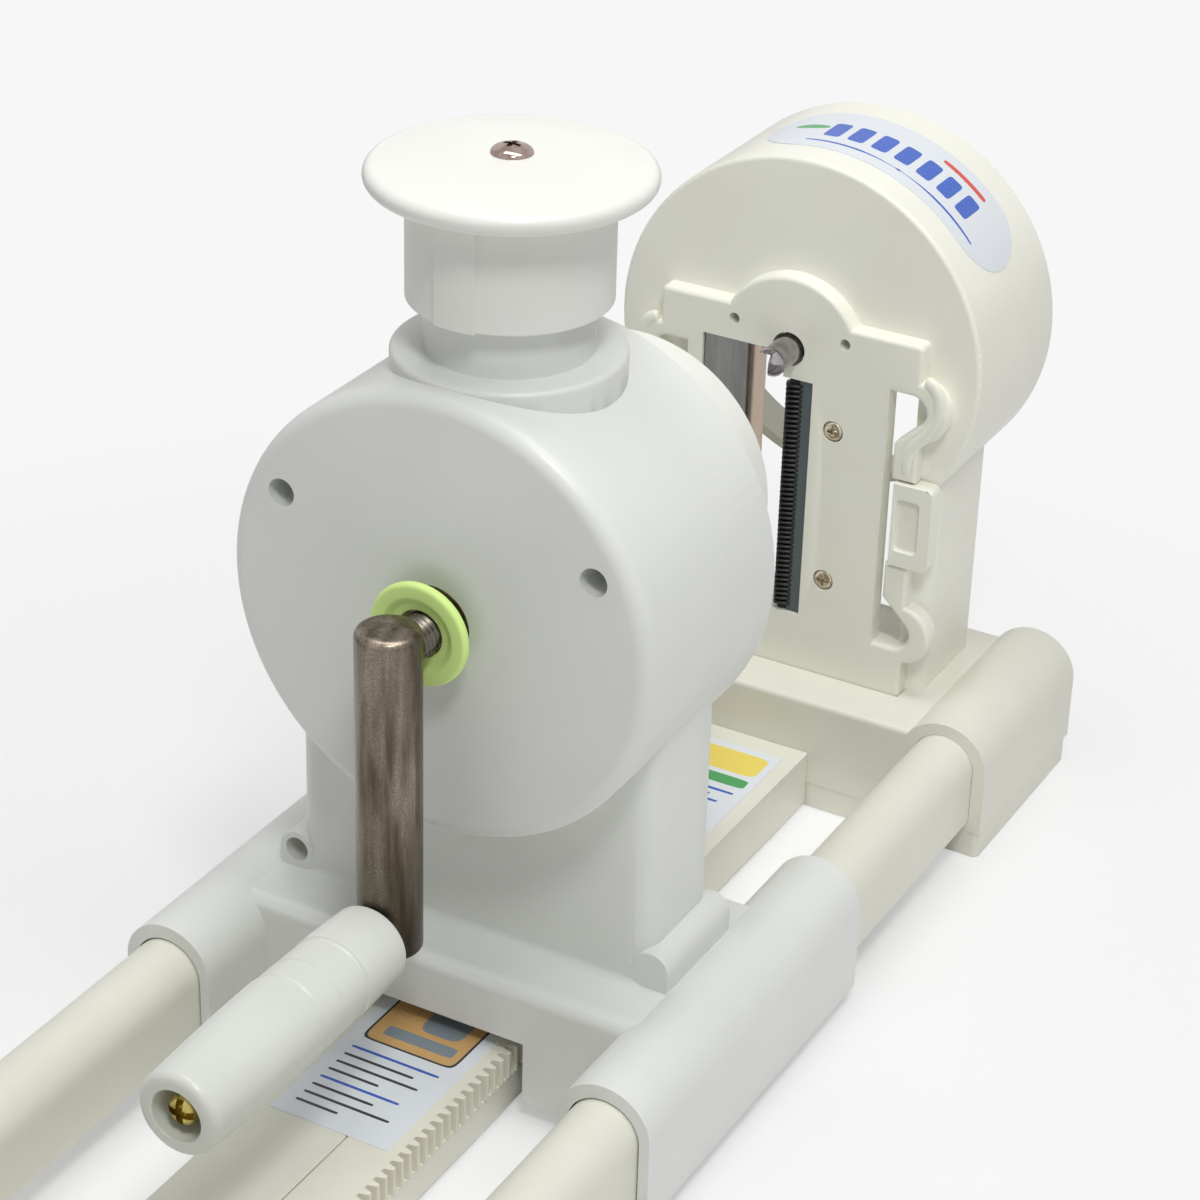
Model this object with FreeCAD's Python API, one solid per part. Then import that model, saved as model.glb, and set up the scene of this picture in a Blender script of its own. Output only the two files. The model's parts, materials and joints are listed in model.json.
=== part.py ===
"""Hand-cranked turning slicer for vegetables: a carriage with a crank slides on two rails toward a blade head.

Millimetres. Origin on the floor under the middle of the base, +Y toward the blade head, +Z up.
The crank turns a vegetable against the blades. A set button drops a pinion into the rack so that it also feeds.
"""

import FreeCAD, Part
import math
import os

V = FreeCAD.Vector

# Base, rails and bar
NEAR_Y = -196.5
FAR_Y = 190.0
FAR_BASE_LENGTH = 61.5
NEAR_FOOT_LENGTH = 19.9
NEAR_FOOT_TOP = 22.0
BASE_TOP = 32.5
FOOT_PLATE_H = 7.5
FOOT_PLATE_INSET = 0.3
BASE_WALL = 3.0
RAIL_X = 58.6
RAIL_HALF_W = 8.75
RAIL_TOP = 34.1
RAIL_BOTTOM = 10.4
RAIL_WALL = 2.4
RAIL_SOCKET_GAP = 0.1
RAIL_SOCKET_END_WALL = 5.0
SHOULDER_HALF_W = 12.4
SHOULDER_TOP = 37.5
BAR_HALF_W = 20.0
BAR_TOP = 16.8
BAR_BOTTOM = 1.0
BAR_WALL = 2.4
RACK_LEFT_X = 5.0
RACK_JOINT_GAP = 0.4
RACK_SEAT_Z = 9.8
RACK_FAR_Y = 66.0
RACK_END_MARGIN = 4.0
RACK_TOOTH_PITCH = 3.3
RACK_TOOTH_PHASE_Y = -28.9
RACK_TIP_X = 20.5
RACK_ADDENDUM = 1.05
RACK_DEDENDUM = 1.25
RACK_FLANK_DEG = 14.5
RACK_TOOTH_W = 1.6
LABEL_T = 0.2
LABEL_HALF_W = 15.8
NEAR_LABEL_Y = (-74.2, -8.0)
FAR_LABEL_Y = (72.0, 121.6)

# Carriage
AXIS_Z = 125.2
SEAM_Y = 1.0
WALL = 2.6
DRUM_R = 54.0
DRUM_FRONT_Y = -30.0
DRUM_REAR_Y = 28.0
DRUM_FRONT_WALL = 3.0
DRUM_RIM_R = 4.0
COLUMN_HALF_W = 48.0
COLUMN_FRONT_Y = -14.4
COLUMN_REAR_Y = 16.4
COLUMN_CORNER_R = 6.0
COLUMN_FOOT_R = 2.0
SADDLE_HALF_L = 30.0
SADDLE_TOP = 36.5
SADDLE_BOTTOM = 5.5
SADDLE_EDGE_R = 3.5
TUNNEL_HALF_W = 24.4
TUNNEL_TOP = 21.4
SLEEVE_HALF_W = 11.7
SLEEVE_TOP = 38.0
SLEEVE_BOTTOM = 4.5
SLEEVE_INNER_BOTTOM = 7.5
SLEEVE_LENGTH = 107.0
RAIL_RUNNING_GAP = 0.35
FACE_SCREW_X = 39.5
FACE_SCREW_UP = 21.2
FACE_SCREW_HOLE_R = 3.35
FACE_SCREW_RECESS = 16.0
FOOT_BOSS_X = 48.4
FOOT_BOSS_Z = 41.5
FOOT_BOSS_R = 4.6
FOOT_BOSS_HOLE_R = 3.15
FOOT_SCREW_RECESS = 6.0
SHELL_SCREW_HEAD_R = 2.9
SHELL_SCREW_HEAD_H = 2.2
SHELL_SCREW_SHANK_R = 1.5
SHELL_SCREW_L = 20.0
SCREW_BOSS_R = 5.0

# Set button
BUTTON_Y = 1.0
BUTTON_TRAVEL = 7.0
BUTTON_R = 31.7
BUTTON_THICKNESS = 4.7
BUTTON_CROWN = 2.4
BUTTON_SCREW_R = 2.5
BUTTON_SCREW_HEAD_R = 4.7
BUTTON_SCREW_HEAD_H = 2.0
SKIRT_R = 22.8
SKIRT_WALL = 2.4
SKIRT_ABOVE_COLLAR = 11.6
SKIRT_HEIGHT = 25.3
SKIRT_RIB_HALF_W = 5.0
SKIRT_RIB_PROUD = 0.8
COLLAR_R = 26.2
COLLAR_ABOVE_DRUM = 0.9
COLLAR_EDGE_R = 1.2
GUIDE_R = 19.0
GUIDE_INNER_R = 16.4
GUIDE_TOP_GAP = 4.0
GUIDE_FLOOR_BELOW_COLLAR = 12.1
GUIDE_FLOOR_T = 3.0
BUTTON_ROD_R = 5.0
BUTTON_POST_R = 7.0
BUTTON_POST_L = 19.0
SPRING_R = 9.6
SPRING_WIRE_R = 0.8
SPRING_TURNS = 6
SPRING_SIDES = 8

# Crank
SHAFT_R = 5.0
RUNNING_GAP = 0.05
ARM_R = 7.45
ARM_Y = -48.1
ARM_ABOVE_AXIS = 7.7
ARM_BELOW_AXIS = 73.9
ARM_CHAMFER = 0.9
SHAFT_IN_ARM = 2.5
SHAFT_END_Y = 52.0
THREAD_PITCH = 1.5
WASHER_R = 12.3
WASHER_BORE_R = 5.6
WASHER_T = 2.5
WASHER_DISH_R = 9.0
WASHER_DISH_DEPTH = 1.2
WASHER_FRONT_Y = -36.9
GRIP_BELOW_AXIS = 68.9
GRIP_LENGTH = 73.0
GRIP_GAP = 0.5
GRIP_REAR_R = 9.7
GRIP_WIDEST_R = 10.85
GRIP_WIDEST_AT = 38.0
GRIP_FRONT_R = 9.9
GRIP_REAR_EDGE_R = 1.0
GRIP_FRONT_EDGE_R = 2.0
GRIP_GROOVES = ((16.5, 0.9, 0.5), (26.0, 0.5, 0.25), (33.5, 1.0, 0.5))
GRIP_RECESS_R = 5.5
GRIP_RECESS_DEPTH = 9.0
GRIP_SPINDLE_R = 3.0
GRIP_SCREW_HEAD_R = 3.9
GRIP_SCREW_HEAD_H = 3.2
HOLDER_R = 35.7
HOLDER_GAP = 0.6
HOLDER_LENGTH = 33.0
HOLDER_FACE_T = 3.0
HOLDER_HUB_R = 10.0
HOLDER_CORE_R = 6.0
HOLDER_HUB_INSET = 8.0
HOLDER_RIB_L = 18.0
HOLDER_RIB_T = 2.2
SPIKE_PLATE_R = 24.0
SPIKE_PLATE_T = 1.0
SPIKE_RING_R = 18.0
SPIKE_LENGTH = 4.5
SPIKE_BASE_R = 1.6
SPIKE_COUNT = 6

# Feed train
WORM_MODULE = 1.25
WHEEL_TEETH = 30
WORM_LENGTH = 20.0
WORM_THREAD_W = 1.25
WHEEL_TOOTH_W = 1.5
WHEEL_T = 6.0
WHEEL_JOURNAL_R = 6.0
WHEEL_HUB_R = 8.5
PINION_TEETH = 12
PINION_BACKLASH = 0.25
PINION_T = 6.0
PINION_ABOVE_BAR = 0.8
FEED_SHAFT_R = 3.5
FEED_FLAT_X = 2.6
FEED_FLAT_GAP = 0.3
FEED_Y = -3.0
BUSHING_WALL = 2.0
FLANGE_T = 1.5
FLANGE_PROUD = 1.9
CLIP_T = 1.2
CLIP_PROUD = 2.6
CLIP_GAP = 0.3
BRACKET_T = 3.0
BRACKET_HALF_W = 12.0
BRACKET_ARM_FAR_Y = 8.5
BRACKET_UPPER = 9.0
BRACKET_LOWER = 15.0
YOKE_T = 5.0
YOKE_HUB_R = 9.0
YOKE_EYE_R = 7.5
YOKE_ROD_STEP = 1.5
YOKE_TO_BRACKET = 1.8

# Blade head and cassette
HEAD_DRUM_R = 52.0
HEAD_DRUM_DROP = 1.4
HEAD_RIM_R = 1.2
HEAD_FRONT_Y = 148.5
HEAD_REAR_Y = 196.5
HEAD_COLUMN_HALF_W = 43.0
HEAD_COLUMN_REAR_Y = 182.5
HEAD_COLUMN_CORNER_R = 5.0
HEAD_WINDOW_HALF_W = 35.5
HEAD_WINDOW_Z = (46.0, 121.0)
PLATE_T = 5.0
PLATE_BOTTOM_Z = 30.5
PLATE_GROOVE_GAP = 0.2
PLATE_EDGE_R = 1.3
EAR_HALF_W = 37.8
EAR_TOP_Z = 134.6
EAR_BOTTOM_Z = 120.4
HUMP_R = 20.0
PLATE_BODY_HALF_W = 29.3
PLATE_SKIRT_TOP_Z = 46.6
ARM_IN_X = 31.4
ARM_OUT_X = 38.2
ARM_BULGE_X = 37.2
ARM_BULGE_R = 8.5
ARM_EYE_X = 35.3
ARM_EYE_R = 4.4
ARM_BULGE_FROM_PAD = 32.5
PAD_MID_Z = 83.5
PAD_HALF_H = 12.0
PAD_X = (32.7, 44.0)
PAD_GAP = 0.35
PAD_PROUD = 0.8
PAD_RECESS_X = (33.9, 40.4)
PAD_RECESS_HALF_H = 7.5
PAD_RECESS_DEPTH = 1.4
PAD_CORNER_R = 2.0
PAD_TRAVEL = 1.5
HOOK_HALF_H = 4.0
HOOK_T = 2.0
HOOK_BARB = 1.2
BLADE_WINDOW_LEFT_X = -25.0
BLADE_EDGE_X = -5.9
GAP_RIGHT_X = -1.0
COMB_RIGHT_X = 7.6
BLADE_WINDOW_TOP_Z = 124.2
COMB_TOP_Z = 117.2
BLADE_WINDOW_BOTTOM_Z = 48.5
CLAMP_RIGHT_X = -12.0
COMB_PITCH = 1.43
COMB_TOOTH_T = 0.55
CORE_HOLE_R = 4.7
CORE_TUBE_R = 3.9
CORE_TUBE_WALL = 0.45
CORE_TUBE_TIP_Y = 133.5
CORE_FLANGE_R = 7.0
CASSETTE_SCREW_X = 14.1
CASSETTE_SCREW_Z = (61.1, 105.0)
CASSETTE_SCREW_R = 2.9
PLATE_HOLE_X = 16.0
PLATE_HOLE_Z = 130.2
PLATE_HOLE_R = 1.5
STICKER_Y = (158.0, 186.0)
STICKER_DEG = (-24.0, 62.0)
HEAD_POST_R = 4.0
HEAD_POST_H = 9.0
HEAD_SCREW_DEPTH = 12.0

# Places that follow from the sizes above
FAR_BASE_Y = FAR_Y - FAR_BASE_LENGTH
NEAR_FOOT_Y = NEAR_Y + NEAR_FOOT_LENGTH
HEAD_AXIS_Z = AXIS_Z - HEAD_DRUM_DROP
PLATE_FRONT_Y = HEAD_FRONT_Y - PLATE_T
PINION_PITCH_R = PINION_TEETH * RACK_TOOTH_PITCH / (2 * math.pi)
FEED_X = RACK_TIP_X - RACK_ADDENDUM + PINION_PITCH_R + 0.1
WHEEL_PITCH_R = WORM_MODULE * WHEEL_TEETH / 2
WORM_PITCH_R = FEED_X - WHEEL_PITCH_R
PINION_BOTTOM_Z = BAR_TOP + PINION_ABOVE_BAR
DRUM_INNER_R = DRUM_R - WALL
HOLDER_FRONT_Y = DRUM_REAR_Y + HOLDER_GAP
HOLDER_REAR_Y = HOLDER_FRONT_Y + HOLDER_LENGTH
COLLAR_TOP_Z = AXIS_Z + DRUM_R + COLLAR_ABOVE_DRUM
SKIRT_BOTTOM_Z = COLLAR_TOP_Z + SKIRT_ABOVE_COLLAR
BUTTON_UNDER_Z = SKIRT_BOTTOM_Z + SKIRT_HEIGHT
BUTTON_TOP_Z = BUTTON_UNDER_Z + BUTTON_THICKNESS
GUIDE_TOP_Z = BUTTON_UNDER_Z - BUTTON_TRAVEL - GUIDE_TOP_GAP
GUIDE_FLOOR_Z = COLLAR_TOP_Z - GUIDE_FLOOR_BELOW_COLLAR
SPRING_TOP_Z = BUTTON_UNDER_Z - RUNNING_GAP
YOKE_BOTTOM_Z = AXIS_Z + BRACKET_UPPER + BRACKET_T + YOKE_TO_BRACKET + BUTTON_TRAVEL + CLIP_GAP + CLIP_T
BUTTON_ROD_BOTTOM_Z = YOKE_BOTTOM_Z - YOKE_ROD_STEP
GRIP_Z = AXIS_Z - GRIP_BELOW_AXIS
GRIP_REAR_Y = ARM_Y - ARM_R - GRIP_GAP
CLEAR = 0.3


def box(x0, x1, y0, y1, z0, z1):
    return Part.makeBox(x1 - x0, y1 - y0, z1 - z0, V(x0, y0, z0))


def cyl_y(x, z, r, y0, y1):
    return Part.makeCylinder(r, y1 - y0, V(x, y0, z), V(0, 1, 0))


def cyl_z(x, y, r, z0, z1):
    return Part.makeCylinder(r, z1 - z0, V(x, y, z0), V(0, 0, 1))


def fuse(solids):
    """One solid from several that touch or overlap."""
    first, rest = solids[0], solids[1:]
    return first.fuse(rest).removeSplitter() if rest else first


def prism(points, direction):
    """A closed outline of points, swept along a vector."""
    wire = Part.makePolygon([V(*p) for p in points] + [V(*points[0])])
    return Part.Face(wire).extrude(direction)


def arch(x, half_w, top, bottom, y0, y1):
    """Round top and upright sides, along Y: the section of the rails, sleeves and shoulders."""
    spring = top - half_w
    left, right, crown = V(x - half_w, y0, spring), V(x + half_w, y0, spring), V(x, y0, top)
    edges = [
        Part.Arc(left, crown, right).toShape(),
        Part.makeLine(right, V(x + half_w, y0, bottom)),
        Part.makeLine(V(x + half_w, y0, bottom), V(x - half_w, y0, bottom)),
        Part.makeLine(V(x - half_w, y0, bottom), left),
    ]
    return Part.Face(Part.Wire(edges)).extrude(V(0, y1 - y0, 0))


def rounded_column(half_w, y0, y1, r, z0, z1):
    """An upright box whose vertical corners are rounded."""
    solid = box(-half_w, half_w, y0, y1, z0, z1)
    upright = [e for e in solid.Edges if abs(e.Vertexes[0].Z - e.Vertexes[-1].Z) > 1]
    return solid.makeFillet(r, upright)


def round_bar_y(x, z, r, y0, y1, rim):
    """A bar along Y whose y0 end has a rounded rim."""
    solid = cyl_y(x, z, r, y0, y1)
    rims = [e for e in solid.Edges if e.isClosed() and abs(e.CenterOfMass.y - y0) < 1e-6]
    return solid.makeFillet(rim, rims)


def revolve_y(profile, x, z):
    """A polyline of (y, r), turned about the line along Y through (x, z)."""
    points = [V(x + r, y, z) for y, r in profile]
    face = Part.Face(Part.makePolygon(points + [points[0]]))
    return face.revolve(V(x, 0, z), V(0, 1, 0), 360)


def revolve_z(profile, x, y):
    """A polyline of (r, z), turned about the upright line through (x, y)."""
    points = [V(x + r, y, z) for r, z in profile]
    face = Part.Face(Part.makePolygon(points + [points[0]]))
    return face.revolve(V(x, y, 0), V(0, 0, 1), 360)


def flanged_bushing(bore_r, length, flange_first=True):
    """A bushing along +Z from the origin, with its flange at the start or at the end."""
    out_r = bore_r + BUSHING_WALL
    flange_z = 0 if flange_first else length - FLANGE_T
    body = fuse([cyl_z(0, 0, out_r, 0, length), cyl_z(0, 0, out_r + FLANGE_PROUD, flange_z, flange_z + FLANGE_T)])
    return body.cut(cyl_z(0, 0, bore_r, -1, length + 1))


def pan_screw(head_r, head_h, shank_r, length):
    """A screw with a chamfered round head that starts at the origin, pointing along +Y."""
    edge = head_h * 0.3
    return revolve_y(
        [
            (0, 0), (0, head_r - edge), (edge, head_r), (head_h, head_r), (head_h, shank_r), (length, shank_r),
            (length, 0),
        ],
        0, 0,
    )


def placed(shape, x, y, z, axis=None, degrees=0):
    """A copy of a shape, turned about the origin and then moved."""
    copy = shape.copy()
    if axis is not None:
        copy.rotate(V(0, 0, 0), axis, degrees)
    copy.translate(V(x, y, z))
    return copy


def mirrored_x(shape):
    return shape.mirror(V(0, 0, 0), V(1, 0, 0))


# Base


def rail(x):
    """An arched channel, open below, from one socket end wall to the other."""
    y0 = NEAR_Y + RAIL_SOCKET_END_WALL
    y1 = FAR_Y - RAIL_SOCKET_END_WALL
    outer = arch(x, RAIL_HALF_W, RAIL_TOP, RAIL_BOTTOM, y0, y1)
    return outer.cut(arch(x, RAIL_HALF_W - RAIL_WALL, RAIL_TOP - RAIL_WALL, RAIL_BOTTOM - 1, y0 - 1, y1 + 1))


def rail_sockets(y0, y1):
    """The spaces in a block that take the ends of both rails."""
    half = RAIL_HALF_W + RAIL_SOCKET_GAP
    return [arch(s * RAIL_X, half, RAIL_TOP + RAIL_SOCKET_GAP, RAIL_BOTTOM, y0, y1) for s in (-1, 1)]


def shoulders(y0, y1):
    return [arch(s * RAIL_X, SHOULDER_HALF_W, SHOULDER_TOP, FOOT_PLATE_H, y0, y1) for s in (-1, 1)]


def far_base():
    """The block at the blade end: two arched shoulders over the rails and a level middle."""
    inner = RAIL_X - SHOULDER_HALF_W
    middle = box(-RAIL_X, RAIL_X, FAR_BASE_Y, FAR_Y, FOOT_PLATE_H, BASE_TOP)
    top_edges = [
        e for e in middle.Edges
        if min(v.Z for v in e.Vertexes) > BASE_TOP - 1 and abs(e.Vertexes[0].X - e.Vertexes[-1].X) > 1
    ]
    middle = middle.makeFillet(1.5, top_edges)
    body = fuse([middle] + shoulders(FAR_BASE_Y, FAR_Y))
    hollow = box(
        -inner + BASE_WALL, inner - BASE_WALL, FAR_BASE_Y + BASE_WALL, FAR_Y - BASE_WALL,
        FOOT_PLATE_H - 1, BASE_TOP - BASE_WALL - 3,
    )
    posts = [cyl_z(x, y, 5, FOOT_PLATE_H, BASE_TOP - BASE_WALL) for x, y in HEAD_SCREW_PLACES]
    groove = box(
        -ARM_OUT_X - PLATE_GROOVE_GAP, ARM_OUT_X + PLATE_GROOVE_GAP,
        PLATE_FRONT_Y - PLATE_GROOVE_GAP, HEAD_FRONT_Y, PLATE_BOTTOM_Z, BASE_TOP + 1,
    )
    body = body.cut([hollow] + rail_sockets(FAR_BASE_Y - 1, FAR_Y - RAIL_SOCKET_END_WALL) + [groove])
    body = fuse([body] + posts)
    holes = [cyl_z(x, y, SHELL_SCREW_SHANK_R, 0, BASE_TOP + 1) for x, y in HEAD_SCREW_PLACES]
    heads = [cyl_z(x, y, SHELL_SCREW_HEAD_R + 0.2, 0, HEAD_SCREW_SEAT_Z) for x, y in HEAD_SCREW_PLACES]
    return body.cut(holes + heads)


HEAD_SCREW_PLACES = [(s * 34.0, y) for s in (-1, 1) for y in (156.0, 175.0)]
HEAD_SCREW_SEAT_Z = BASE_TOP - HEAD_SCREW_DEPTH


def foot_plate(y0, y1, screw_places):
    """The lower tray of a base block, set in a little so that a parting line shows."""
    half = RAIL_X + SHOULDER_HALF_W - FOOT_PLATE_INSET
    y0, y1 = y0 + FOOT_PLATE_INSET, y1 - FOOT_PLATE_INSET
    tray = rounded_box_z(-half, half, y0, y1, 0, FOOT_PLATE_H, 2.0)
    tray = tray.cut(box(
        -RAIL_X + SHOULDER_HALF_W + BASE_WALL, RAIL_X - SHOULDER_HALF_W - BASE_WALL,
        y0 + BASE_WALL, y1 - BASE_WALL, BASE_WALL, FOOT_PLATE_H + 1,
    ))
    return tray.cut([cyl_z(x, y, 4.0, -1, BASE_WALL + 1) for x, y in screw_places]) if screw_places else tray


def rounded_box_z(x0, x1, y0, y1, z0, z1, r):
    solid = box(x0, x1, y0, y1, z0, z1)
    upright = [e for e in solid.Edges if abs(e.Vertexes[0].Z - e.Vertexes[-1].Z) > 1]
    return solid.makeFillet(r, upright)


def near_foot():
    """The cross piece at the crank end, with a shoulder over each rail."""
    middle = box(-RAIL_X, RAIL_X, NEAR_Y, NEAR_FOOT_Y, FOOT_PLATE_H, NEAR_FOOT_TOP)
    top_edges = [
        e for e in middle.Edges
        if min(v.Z for v in e.Vertexes) > NEAR_FOOT_TOP - 1 and abs(e.Vertexes[0].X - e.Vertexes[-1].X) > 1
    ]
    middle = middle.makeFillet(1.5, top_edges)
    body = fuse([middle] + shoulders(NEAR_Y, NEAR_FOOT_Y))
    body = body.cut(rail_sockets(NEAR_Y + RAIL_SOCKET_END_WALL, NEAR_FOOT_Y + 1))
    inner = RAIL_X - SHOULDER_HALF_W
    hollow = box(
        -inner + BASE_WALL, inner - BASE_WALL, NEAR_Y + BASE_WALL, NEAR_FOOT_Y - BASE_WALL,
        FOOT_PLATE_H - 1, NEAR_FOOT_TOP - BASE_WALL,
    )
    return body.cut(hollow)


def centre_bar():
    """The low channel between the blocks, with a long seat for the rack along its right side."""
    outer = box(-BAR_HALF_W, BAR_HALF_W, NEAR_FOOT_Y, FAR_BASE_Y, BAR_BOTTOM, BAR_TOP)
    left_hollow = box(
        -BAR_HALF_W + BAR_WALL, RACK_LEFT_X - BAR_WALL, NEAR_FOOT_Y - 1, FAR_BASE_Y + 1,
        BAR_BOTTOM - 1, BAR_TOP - BAR_WALL,
    )
    right_hollow = box(
        RACK_LEFT_X - BAR_WALL - 1, BAR_HALF_W - BAR_WALL, NEAR_FOOT_Y - 1, FAR_BASE_Y + 1,
        BAR_BOTTOM - 1, RACK_SEAT_Z - BAR_WALL,
    )
    seat = box(
        RACK_LEFT_X, BAR_HALF_W + 1, NEAR_FOOT_Y - 1, RACK_FAR_Y + RACK_JOINT_GAP,
        RACK_SEAT_Z, BAR_TOP + 1,
    )
    return outer.cut([left_hollow, right_hollow, seat])


def rack():
    """The toothed strip: upright teeth on its outer side, worked out from the pitch."""
    near_y = NEAR_FOOT_Y
    body = box(
        RACK_LEFT_X + RACK_JOINT_GAP, RACK_TIP_X, near_y, RACK_FAR_Y, RACK_SEAT_Z, BAR_TOP,
    )
    tan = math.tan(math.radians(RACK_FLANK_DEG))
    root_x = RACK_TIP_X - RACK_ADDENDUM - RACK_DEDENDUM
    gap_root = (RACK_TOOTH_PITCH - RACK_TOOTH_W) / 2 - RACK_DEDENDUM * tan
    gap_tip = (RACK_TOOTH_PITCH - RACK_TOOTH_W) / 2 + (RACK_ADDENDUM + 1) * tan
    first = math.ceil((near_y + RACK_END_MARGIN - RACK_TOOTH_PHASE_Y) / RACK_TOOTH_PITCH)
    last = math.floor((RACK_FAR_Y - RACK_END_MARGIN - RACK_TOOTH_PHASE_Y) / RACK_TOOTH_PITCH)
    gaps = []
    for k in range(first, last + 1):
        y = RACK_TOOTH_PHASE_Y + (k + 0.5) * RACK_TOOTH_PITCH
        gaps.append(prism(
            [
                (root_x, y - gap_root, RACK_SEAT_Z - 1), (RACK_TIP_X + 1, y - gap_tip, RACK_SEAT_Z - 1),
                (RACK_TIP_X + 1, y + gap_tip, RACK_SEAT_Z - 1), (root_x, y + gap_root, RACK_SEAT_Z - 1),
            ],
            V(0, 0, BAR_TOP - RACK_SEAT_Z + 2),
        ))
    return body.cut(gaps)


def label(y_range):
    return box(-LABEL_HALF_W, LABEL_HALF_W, y_range[0], y_range[1], BAR_TOP, BAR_TOP + LABEL_T)


# Carriage


def carriage_outline():
    """Drum, column, saddle and rail sleeves as one outer form."""
    drum = round_bar_y(0, AXIS_Z, DRUM_R, DRUM_FRONT_Y, DRUM_REAR_Y, DRUM_RIM_R)
    column = rounded_column(COLUMN_HALF_W, COLUMN_FRONT_Y, COLUMN_REAR_Y, COLUMN_CORNER_R, SADDLE_TOP - 1, AXIS_Z)
    saddle = box(-RAIL_X, RAIL_X, -SADDLE_HALF_L, SADDLE_HALF_L, SADDLE_BOTTOM, SADDLE_TOP)
    long_edges = [
        e for e in saddle.Edges
        if min(v.Z for v in e.Vertexes) > SADDLE_TOP - 1 and abs(e.Vertexes[0].X - e.Vertexes[-1].X) > 1
    ]
    saddle = saddle.makeFillet(SADDLE_EDGE_R, long_edges)
    body = fuse([saddle, column])
    foot = [
        e for e in body.Edges
        if all(abs(v.Z - SADDLE_TOP) < 1e-4 and abs(v.X) < COLUMN_HALF_W + 0.1 for v in e.Vertexes)
        and COLUMN_FRONT_Y - 0.1 < e.CenterOfMass.y < COLUMN_REAR_Y + 0.1
    ]
    body = body.makeFillet(COLUMN_FOOT_R, foot)
    half = SLEEVE_LENGTH / 2
    sleeves = [arch(s * RAIL_X, SLEEVE_HALF_W, SLEEVE_TOP, SLEEVE_BOTTOM, -half, half) for s in (-1, 1)]
    return fuse([body, drum] + sleeves + foot_bosses())


def foot_bosses():
    """Screw bosses at the column's lower corners, as deep as the column, on webs down to the saddle."""
    solids = []
    inner, outer = COLUMN_HALF_W - COLUMN_CORNER_R, FOOT_BOSS_X + FOOT_BOSS_R
    for s in (-1, 1):
        solids.append(cyl_y(s * FOOT_BOSS_X, FOOT_BOSS_Z, FOOT_BOSS_R, COLUMN_FRONT_Y, COLUMN_REAR_Y))
        x0, x1 = sorted((s * inner, s * outer))
        solids.append(box(x0, x1, COLUMN_FRONT_Y, COLUMN_REAR_Y, SADDLE_TOP - WALL, FOOT_BOSS_Z))
    return solids


def carriage_spaces():
    """Everything that is hollow in the carriage."""
    drum = cyl_y(0, AXIS_Z, DRUM_INNER_R, DRUM_FRONT_Y + DRUM_FRONT_WALL, DRUM_REAR_Y - WALL)
    column = box(
        -COLUMN_HALF_W + WALL, COLUMN_HALF_W - WALL, COLUMN_FRONT_Y + WALL, COLUMN_REAR_Y - WALL,
        SADDLE_TOP - 3, AXIS_Z,
    )
    middle = box(
        -TUNNEL_HALF_W + WALL, TUNNEL_HALF_W - WALL, COLUMN_FRONT_Y + WALL, COLUMN_REAR_Y - WALL,
        TUNNEL_TOP + WALL, SADDLE_TOP,
    )
    tunnel = box(-TUNNEL_HALF_W, TUNNEL_HALF_W, -SADDLE_HALF_L - 1, SADDLE_HALF_L + 1, SADDLE_BOTTOM - 1, TUNNEL_TOP)
    side_in, side_out = TUNNEL_HALF_W + WALL, RAIL_X - SLEEVE_HALF_W - WALL / 2
    sides = [
        box(
            min(s * side_in, s * side_out), max(s * side_in, s * side_out),
            -SADDLE_HALF_L + WALL, SADDLE_HALF_L - WALL, SADDLE_BOTTOM - 1, SADDLE_TOP - 3 - WALL,
        )
        for s in (-1, 1)
    ]
    half, end = RAIL_HALF_W + RAIL_RUNNING_GAP, SLEEVE_LENGTH / 2 + 1
    sleeves = [
        arch(s * RAIL_X, half, RAIL_TOP + RAIL_RUNNING_GAP, SLEEVE_INNER_BOTTOM, -end, end) for s in (-1, 1)
    ]
    return [fuse([drum, column, middle]), tunnel] + sides + sleeves


FEED_BOSS_R = FEED_SHAFT_R + RUNNING_GAP + BUSHING_WALL + 3
FEED_BOSS_BOTTOM_Z = PINION_BOTTOM_Z + PINION_T + 1.2
SHAFT_BOSS_R = SHAFT_R + RUNNING_GAP + BUSHING_WALL + 3
FRONT_BUSHING_L = 12.0
REAR_BUSHING_L = 8.0


def screw_posts():
    """Posts inside the drum, and the foot bosses' inner walls, that the screws pull together."""
    z = AXIS_Z + FACE_SCREW_UP
    y0, y1 = DRUM_FRONT_Y + DRUM_FRONT_WALL, DRUM_REAR_Y - WALL
    face = [cyl_y(s * FACE_SCREW_X, z, SCREW_BOSS_R, y0 - 0.5, y1 + 0.5) for s in (-1, 1)]
    foot = [cyl_y(s * FOOT_BOSS_X, FOOT_BOSS_Z, FOOT_BOSS_R, COLUMN_FRONT_Y, COLUMN_REAR_Y) for s in (-1, 1)]
    return face + foot


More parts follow.
